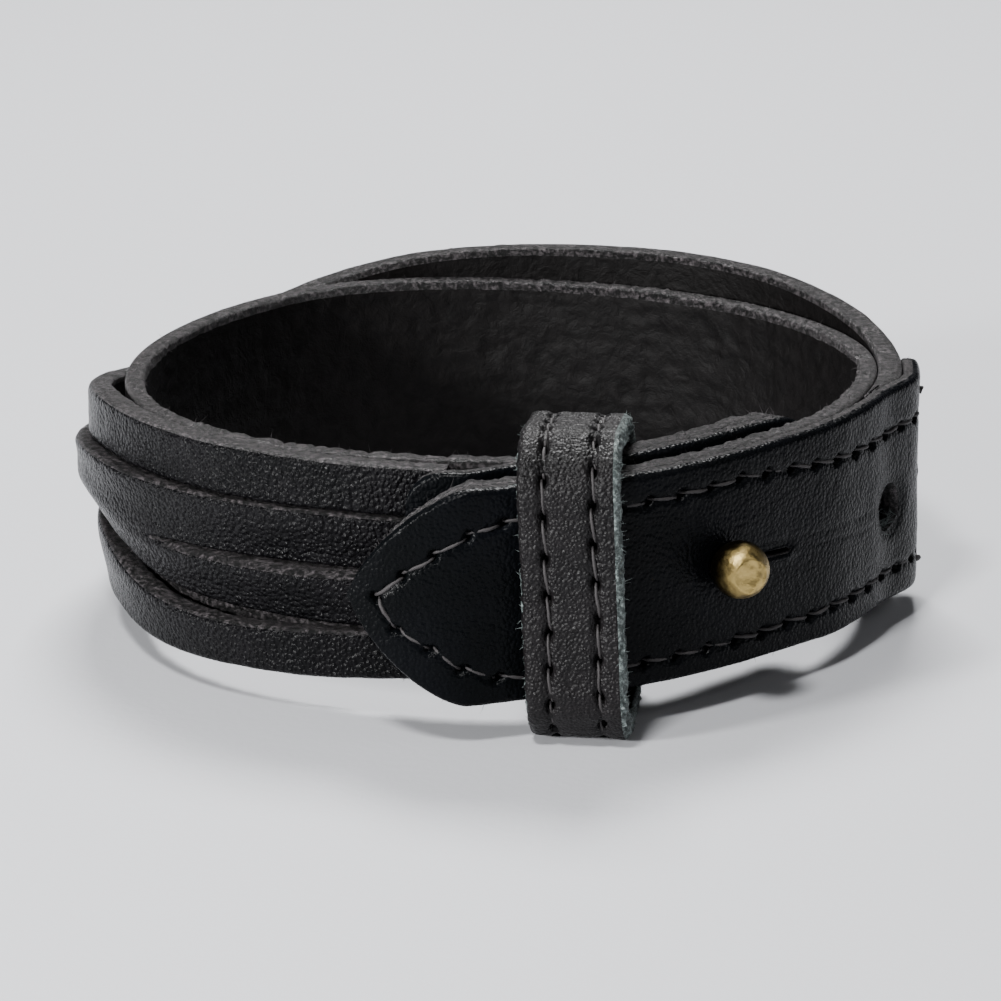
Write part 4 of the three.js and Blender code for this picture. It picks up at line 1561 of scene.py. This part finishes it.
@dataclass
class BallStud:
    """The antique brass stud: base, post and a ball with a struck flat."""

    hollow: Hollow
    finishes: Finishes
    tabs: Tabs
    ball: float = 2.3
    flat: float = 0.45
    post: float = 1.0
    base_radius: float = 2.6
    base_wall: float = 0.8
    base_round: float = 0.4
    seat_gap: float = 0.3
    facing_turn: float = 66.0
    reach_to_base: float = 8.4
    pinhole: float = 0.001  # keeps the outline's two ends off the axis
    spokes: int = 72
    ridge_height: float = 0.16
    dent_depth: float = 0.07
    lump_share: float = 0.012

    def outline(self) -> np.ndarray:
        """The turned outline from the base's underside to the flat's middle.

        Returns:
            Rows of radius and reach from the ball's middle.
        """
        foot = -self.reach_to_base
        inset = self.base_radius - self.base_round
        rows = [(self.pinhole, foot - self.base_wall), (inset, foot - self.base_wall)]
        for bend in np.linspace(-math.pi / 2, 0, 7):
            drop = self.base_round * (math.sin(bend) - 1)
            rows.append((inset + self.base_round * math.cos(bend), foot + drop))
        rows += [(self.base_radius, foot), (self.post, foot), (self.post, 0.2 - self.ball)]
        first = math.asin(self.post / self.ball)
        last = math.pi - math.acos(1 - self.flat / self.ball)
        for bend in np.linspace(first, last, 41)[1:]:
            rows.append((self.ball * math.sin(bend), -self.ball * math.cos(bend)))
        rim = self.ball * math.sin(last)
        for share in np.linspace(0, 1, 15)[1:]:
            rows.append((rim * (1 - share) + self.pinhole, self.ball - self.flat))
        return np.array(rows)

    def centre(self) -> np.ndarray:
        """The ball's middle, where the ball rests on the keyhole's edge."""
        turn = self.tabs.stud_turn
        leather = float(self.tabs.pointed_inner(np.array(FULL_TURN + turn))) + self.tabs.face_wall
        seat = self.tabs.keyhole_radius - self.seat_gap
        proud = math.sqrt(self.ball ** 2 - seat ** 2)
        return self.hollow.place(turn, leather + proud, self.tabs.hole_height())

    def build(self) -> None:
        """Turns the outline, dents its flat and raises the ridge beside it."""
        angle = math.radians(self.facing_turn)
        outward = np.array([math.cos(angle), -math.sin(angle), 0])
        side = np.array([math.sin(angle), math.cos(angle), 0])
        outline = self.outline()
        spin = np.linspace(0, 2 * np.pi, self.spokes, endpoint=False)
        across = outline[:, :1] * np.cos(spin)
        up = outline[:, :1] * np.sin(spin)
        reach = outline[:, 1:] * np.ones((1, self.spokes))
        dents = Mottle(51)
        front = smooth_step(reach, self.ball * 0.35, self.ball - self.flat)
        ring = bump(np.hypot(across + 1.3, up - 0.2), 2.0, 0.3)
        ridge = self.ridge_height * ring * smooth_step(across, -0.6, 0.4)
        reach = reach + front * (self.dent_depth * dents.rough(across / 1.3 + 4, up / 1.3 + 7, 3) + ridge)
        lump = 1 + self.lump_share * dents.at(across * 0.8 + 30, up * 0.8 + 10)
        points = outward * reach[..., None] + side * (across * lump)[..., None] + UP * (up * lump)[..., None]
        rows = len(outline)
        faces = grid_faces(rows, self.spokes, False).tolist()
        faces += [list(range(self.spokes)), list(range((rows - 1) * self.spokes, rows * self.spokes))]
        piece = build_mesh("ball_stud", points.reshape(-1, 3) + self.centre(), faces)
        paint_points(piece, "worn", smooth_step(reach, -self.ball * 0.3, self.ball * 0.75))
        piece.data.materials.append(self.finishes.brass)
        settle(piece, "brass", "stud")


@dataclass
class Keeper:
    """The loose leather loop round the closed front."""

    hollow: Hollow
    finishes: Finishes
    wall: float = 1.7
    bend: float = 5.0
    yaw: float = 6.0
    height: float = 25.5
    drop: float = 2.1
    sway: float = 2.3
    inset: float = 2.0
    pitch: float = 3.0
    stitch_length: float = 2.65
    first_stitches: tuple[float, float] = (2.1, 0.9)  # where each stitch row starts along the loop
    seam_floor: float = 1.2  # the stitches under the loop lie lower than this, and are left out
    seam_reach: float = 1.2
    groove_depth: float = 0.22
    groove_reach: float = 0.34
    stitch_hole_depth: float = 0.70
    stitch_hole_reach: float = 0.27
    ripple_pitch: float = 0.8
    ripple_depth: float = 0.030
    swell_depth: float = 0.10
    grain_depth: float = 0.05
    edge_fuzz: float = 0.14
    stations: int = 420
    wave: Mottle = field(default_factory=lambda: Mottle(62))

    def __post_init__(self) -> None:
        """Reads the loop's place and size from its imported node."""
        facing = math.radians(90 + self.yaw)
        self.outward = np.array([math.cos(facing), -math.sin(facing), 0])
        self.across = np.array([-math.sin(facing), -math.cos(facing), 0])
        mesh = bpy.data.objects["keeper"].data
        points = np.array([v.co for v in mesh.vertices]) / MM
        reach = points @ self.outward
        aside = points @ self.across
        self.depth = float(reach.max() - reach.min())
        self.centre = float((reach.max() + reach.min()) / 2)
        low = aside[points[:, 2] < 0.01]
        self.width = float(low.max() - low.min())
        self.aside = float((low.max() + low.min()) / 2)

    def track(self, count: int) -> tuple[np.ndarray, np.ndarray, np.ndarray]:
        """The loop's outer line, from the middle of its flat foot forward and up.

        Args:
            count: points round the loop.

        Returns:
            Points (depth, height), outward directions there, and distances along the loop.
        """
        half = self.depth / 2
        corners = ((half - self.bend, self.bend, -90), (half - self.bend, self.height - self.bend, 0),
                   (-half + self.bend, self.height - self.bend, 90), (-half + self.bend, self.bend, 180))
        line = [(0.0, 0.0, -90.0)]
        for x, z, first in corners:
            for step in range(33):
                facing = first + 90 * step / 32
                angle = math.radians(facing)
                line.append((x + self.bend * math.cos(angle), z + self.bend * math.sin(angle), facing))
        line.append((0.0, 0.0, 270.0))
        table = np.array(line)
        run = np.concatenate([[0], np.cumsum(np.hypot(np.diff(table[:, 0]), np.diff(table[:, 1])))])
        marks = np.linspace(0, run[-1], count, endpoint=False)
        spot = np.stack([np.interp(marks, run, table[:, 0]), np.interp(marks, run, table[:, 1])], axis=1)
        angle = np.radians(np.interp(marks, run, table[:, 2]))
        return spot, np.stack([np.cos(angle), np.sin(angle)], axis=1), marks

    def place(self, depth: np.ndarray, height: np.ndarray, aside: np.ndarray) -> np.ndarray:
        """Points of the frame from the loop's own depth, height and place across it."""
        height = height * (1 - (0.5 - depth / self.depth) * self.drop / self.height)
        lean = self.aside + math.tan(math.radians(self.sway)) * height
        return (
            self.outward * (depth + self.centre)[..., None]
            + self.across * (aside + lean)[..., None]
            + UP * height[..., None]
        )

    def stitch_rows(self) -> list[tuple[float, float, float]]:
        """Each stitch as its start and end along the loop and its place across it."""
        total = self.track(400)[2][-1]
        rows = []
        draw = np.random.default_rng(61)
        far = self.width / 2 - self.inset
        for aside, mark in zip((-far, far), self.first_stitches):
            while mark < total - self.pitch:
                rows.append((mark, mark + self.stitch_length, aside + draw.normal(0, 0.06)))
                mark += self.pitch + draw.normal(0, 0.12)
        return rows

    def swell(self, along: np.ndarray, across: np.ndarray) -> np.ndarray:
        """Soft waves and coarse grain, by distance along the loop and place across it."""
        waves = self.swell_depth * self.wave.at(along / 5.0, across / 5.0 + 40)
        return waves + self.grain_depth * self.wave.rough(along / 0.9, across / 1.8, 3)

    def relief(self, rows: list[tuple[float, float, float]], along: np.ndarray,
               across: np.ndarray) -> np.ndarray:
        """Waves, ripples, stitch grooves and stitch holes of the loop's outer face.

        Args:
            rows: each stitch's start, end and place across the loop.
            along: each surface point's distance along the loop.
            across: its place across the loop.

        Returns:
            Depth at each point.
        """
        wave = self.wave
        phase = 2 * np.pi * along / self.ripple_pitch + 3 * wave.at(along / 3.0, across / 3.0)
        ripple = self.ripple_depth * np.cos(phase) * bump(wave.at(along / 6.0 + 9, across / 4.0), 0.5, 0.6)
        depth = self.swell(along, across) + ripple
        marks = along[:, 0]
        for start, end, line in rows:
            window = np.where((marks > start - self.seam_reach) & (marks < end + self.seam_reach))[0]
            if not len(window):
                continue
            cut = slice(window[0], window[-1] + 1)
            beyond = np.maximum(0, np.maximum(start - along[cut], along[cut] - end))
            gone = np.hypot(beyond, across[cut] - line)
            depth[cut] -= self.groove_depth * bump(gone, 0, self.groove_reach)
            for hole in (start, end):
                away = np.hypot((along[cut] - hole) * 0.7, across[cut] - line)
                depth[cut] -= self.stitch_hole_depth * bump(away, 0, self.stitch_hole_reach)
        return depth

    def build(self) -> None:
        """Builds the loop, its two stitch rows and its fuzz."""
        spot, outward, marks = self.track(self.stations)
        rows = self.stitch_rows()
        plain = Profile.rounded(0.6, 0.25, 44, 8, 6, 20)
        raw = np.where(plain.up < -0.3, int(Side.CUT_EDGE), plain.side)
        aside = (plain.height_share - 0.5) * self.width + plain.height_mm
        wall = -self.wall + plain.wall_share * self.wall + plain.wall_mm
        along = marks[:, None] + 0 * aside[None, :]
        across = aside[None, :] + 0 * along
        grain = self.relief(rows, along, across)
        fuzz = self.edge_fuzz * self.wave.rough(along / 0.45, across / 0.35 + wall / 0.35, 2)
        flesh = 0.4 * self.swell(along, across)
        side = np.broadcast_to(raw, grain.shape)
        depth = np.where(side == Side.GRAIN, grain, np.where(side == Side.CUT_EDGE, fuzz, flesh))
        base = spot[:, None, :] + outward[:, None, :] * (wall[None, :] + depth * plain.out)[..., None]
        points = self.place(base[..., 0], np.maximum(base[..., 1], 0.0), across + depth * plain.up)
        faces = grid_faces(self.stations, len(aside), True).tolist()
        piece = build_mesh("keeper_loop", points.reshape(-1, 3), faces, side.reshape(-1))
        self.finishes.dress(piece, self.finishes.keeper, self.finishes.keeper_edge)
        settle(piece, "keeper_leather", "keeper")
        lint = Fringe(64, 0.028, 0.45, self.finishes.keeper_lint)
        lint.grow(piece, "keeper_fibres", 1700, "keeper_leather")
        self.build_stitches(rows)

    def build_stitches(self, rows: list[tuple[float, float, float]]) -> None:
        """Lays the keeper's stitches.

        Args:
            rows: each stitch's start, end and place across the loop.
        """
        spot, outward, marks = self.track(1200)
        draw = np.random.default_rng(63)
        tubes = Tubes(Stitch.sides)
        stitch = Stitch(radius=0.15, bed=0.26)

        def surface(mark: float, aside: float) -> tuple[np.ndarray, np.ndarray]:
            index = int(np.clip(np.searchsorted(marks, mark), 0, len(marks) - 1))
            point = self.place(spot[index, 0:1], spot[index, 1:2], np.array([aside]))[0]
            facing = self.outward * outward[index, 0] + UP * outward[index, 1]
            return point, facing

        for start, end, line in rows:
            first, facing = surface(start, line)
            last, _ = surface(end, line)
            if max(first[2], last[2]) < self.seam_floor:
                continue
            sunk = stitch.bed * facing
            slant = self.across * draw.normal(0.10, 0.06)
            stitch.lay(tubes, first - sunk - slant, last - sunk + slant, facing, draw)
        piece = tubes.build("keeper_stitches")
        piece.data.materials.append(self.finishes.thread)
        settle(piece, "thread")


@dataclass
class Studio:
    """Pale floor, soft lights and the camera at the photograph's angle."""

    hollow: Hollow
    elevation: float = 17.5
    distance: float = 410.0
    aim_left: float = 0.15
    aim_front: float = 2.0
    aim_height: float = 9.3
    pixels_per_mm: float = 12.0
    frame_pixels: float = 1001.0
    sensor_mm: float = 36.0
    floor_reach: float = 2500.0
    floor_colour: str = "#bdbec2"
    surround_colour: str = "#d6d8dd"
    surround_strength: float = 0.08
    lights_aim: tuple[float, float, float] = (0.0, 0.0, 10.0)

    # name, place in millimetres, side in millimetres and power in watts of each square light
    LIGHTS = (
        ("back_softbox", (0.0, 300.0, 440.0), 190.0, 5.5),
        ("front_softbox", (-90.0, -240.0, 400.0), 70.0, 2.4),
        ("low_left_softbox", (-330.0, -270.0, 130.0), 60.0, 3.6),
        ("right_softbox", (330.0, -150.0, 300.0), 150.0, 0.2),
    )

    def camera(self) -> None:
        """Sets the camera."""
        middle = self.hollow.middle
        aim = np.array([middle[0] - self.aim_left, middle[1] - self.aim_front, self.aim_height])
        tilt = math.radians(self.elevation)
        spot = aim + self.distance * np.array([0, -math.cos(tilt), math.sin(tilt)])
        lens = bpy.data.cameras.new("camera")
        lens.sensor_width = self.sensor_mm
        lens.lens = self.pixels_per_mm * self.distance / self.frame_pixels * lens.sensor_width
        lens.clip_start = 0.01
        lens.clip_end = 10.0
        eye = bpy.data.objects.new("camera", lens)
        eye.location = (spot * MM).tolist()
        eye.rotation_euler = (math.radians(90) - tilt, 0, 0)
        bpy.context.scene.collection.objects.link(eye)
        bpy.context.scene.camera = eye

    def floor(self) -> None:
        """Lays a pale floor."""
        shader = Shader("pale_paper")
        tooth = shader.noise(0.8, 2.0)
        paper = shader.finish({"Base Color": linear(self.floor_colour), "Roughness": 0.8,
                               "Normal": shader.raised(tooth, 0.02)})
        far = self.floor_reach
        points = np.array([[-far, -far, 0], [far, -far, 0], [far, far, 0], [-far, far, 0]])
        mesh = bpy.data.meshes.new("floor")
        mesh.from_pydata((points * MM).tolist(), [], [[0, 1, 2, 3]])
        floor = bpy.data.objects.new("floor", mesh)
        bpy.context.scene.collection.objects.link(floor)
        floor.data.materials.append(paper)

    def light(self, name: str, spot: tuple[float, float, float], size: float, power: float) -> None:
        """Hangs one square soft light that faces the bracelet.

        Args:
            name: the light's name.
            spot: its place in millimetres.
            size: its side in millimetres.
            power: its power in watts.
        """
        lamp = bpy.data.lights.new(name, "AREA")
        lamp.size = size * MM
        lamp.energy = power
        holder = bpy.data.objects.new(name, lamp)
        place = np.array(spot)
        holder.location = (place * MM).tolist()
        aim = np.array(self.lights_aim) - place
        flat = math.hypot(aim[0], aim[1])
        holder.rotation_euler = (math.atan2(flat, -aim[2]), 0, math.atan2(aim[1], aim[0]) - math.pi / 2)
        bpy.context.scene.collection.objects.link(holder)

    def build(self) -> None:
        """Sets the camera, the floor, the lights and the surrounding grey."""
        self.camera()
        self.floor()
        for name, spot, size, power in self.LIGHTS:
            self.light(name, spot, size, power)
        world = bpy.data.worlds.new("studio")
        world.use_nodes = True
        surround = world.node_tree.nodes["Background"]
        surround.inputs["Color"].default_value = linear(self.surround_colour)
        surround.inputs["Strength"].default_value = self.surround_strength
        bpy.context.scene.world = world


def main() -> None:
    """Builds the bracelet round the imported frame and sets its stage."""
    logging.basicConfig(level=logging.INFO, format="%(name)s: %(message)s")
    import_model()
    hollow = Hollow()
    Studio(hollow).build()
    finishes = Finishes()
    lining = Lining(hollow, finishes)
    lining.build()
    strap = OuterStrap(hollow, finishes)
    strap.build()
    tabs = Tabs(hollow, finishes, lining, strap)
    ends = tabs.build_stitches()
    tabs.build_pointed(ends)
    tabs.build_stud_tab()
    BallStud(hollow, finishes, tabs).build()
    Keeper(hollow, finishes).build()


if __name__ == "__main__":
    main()
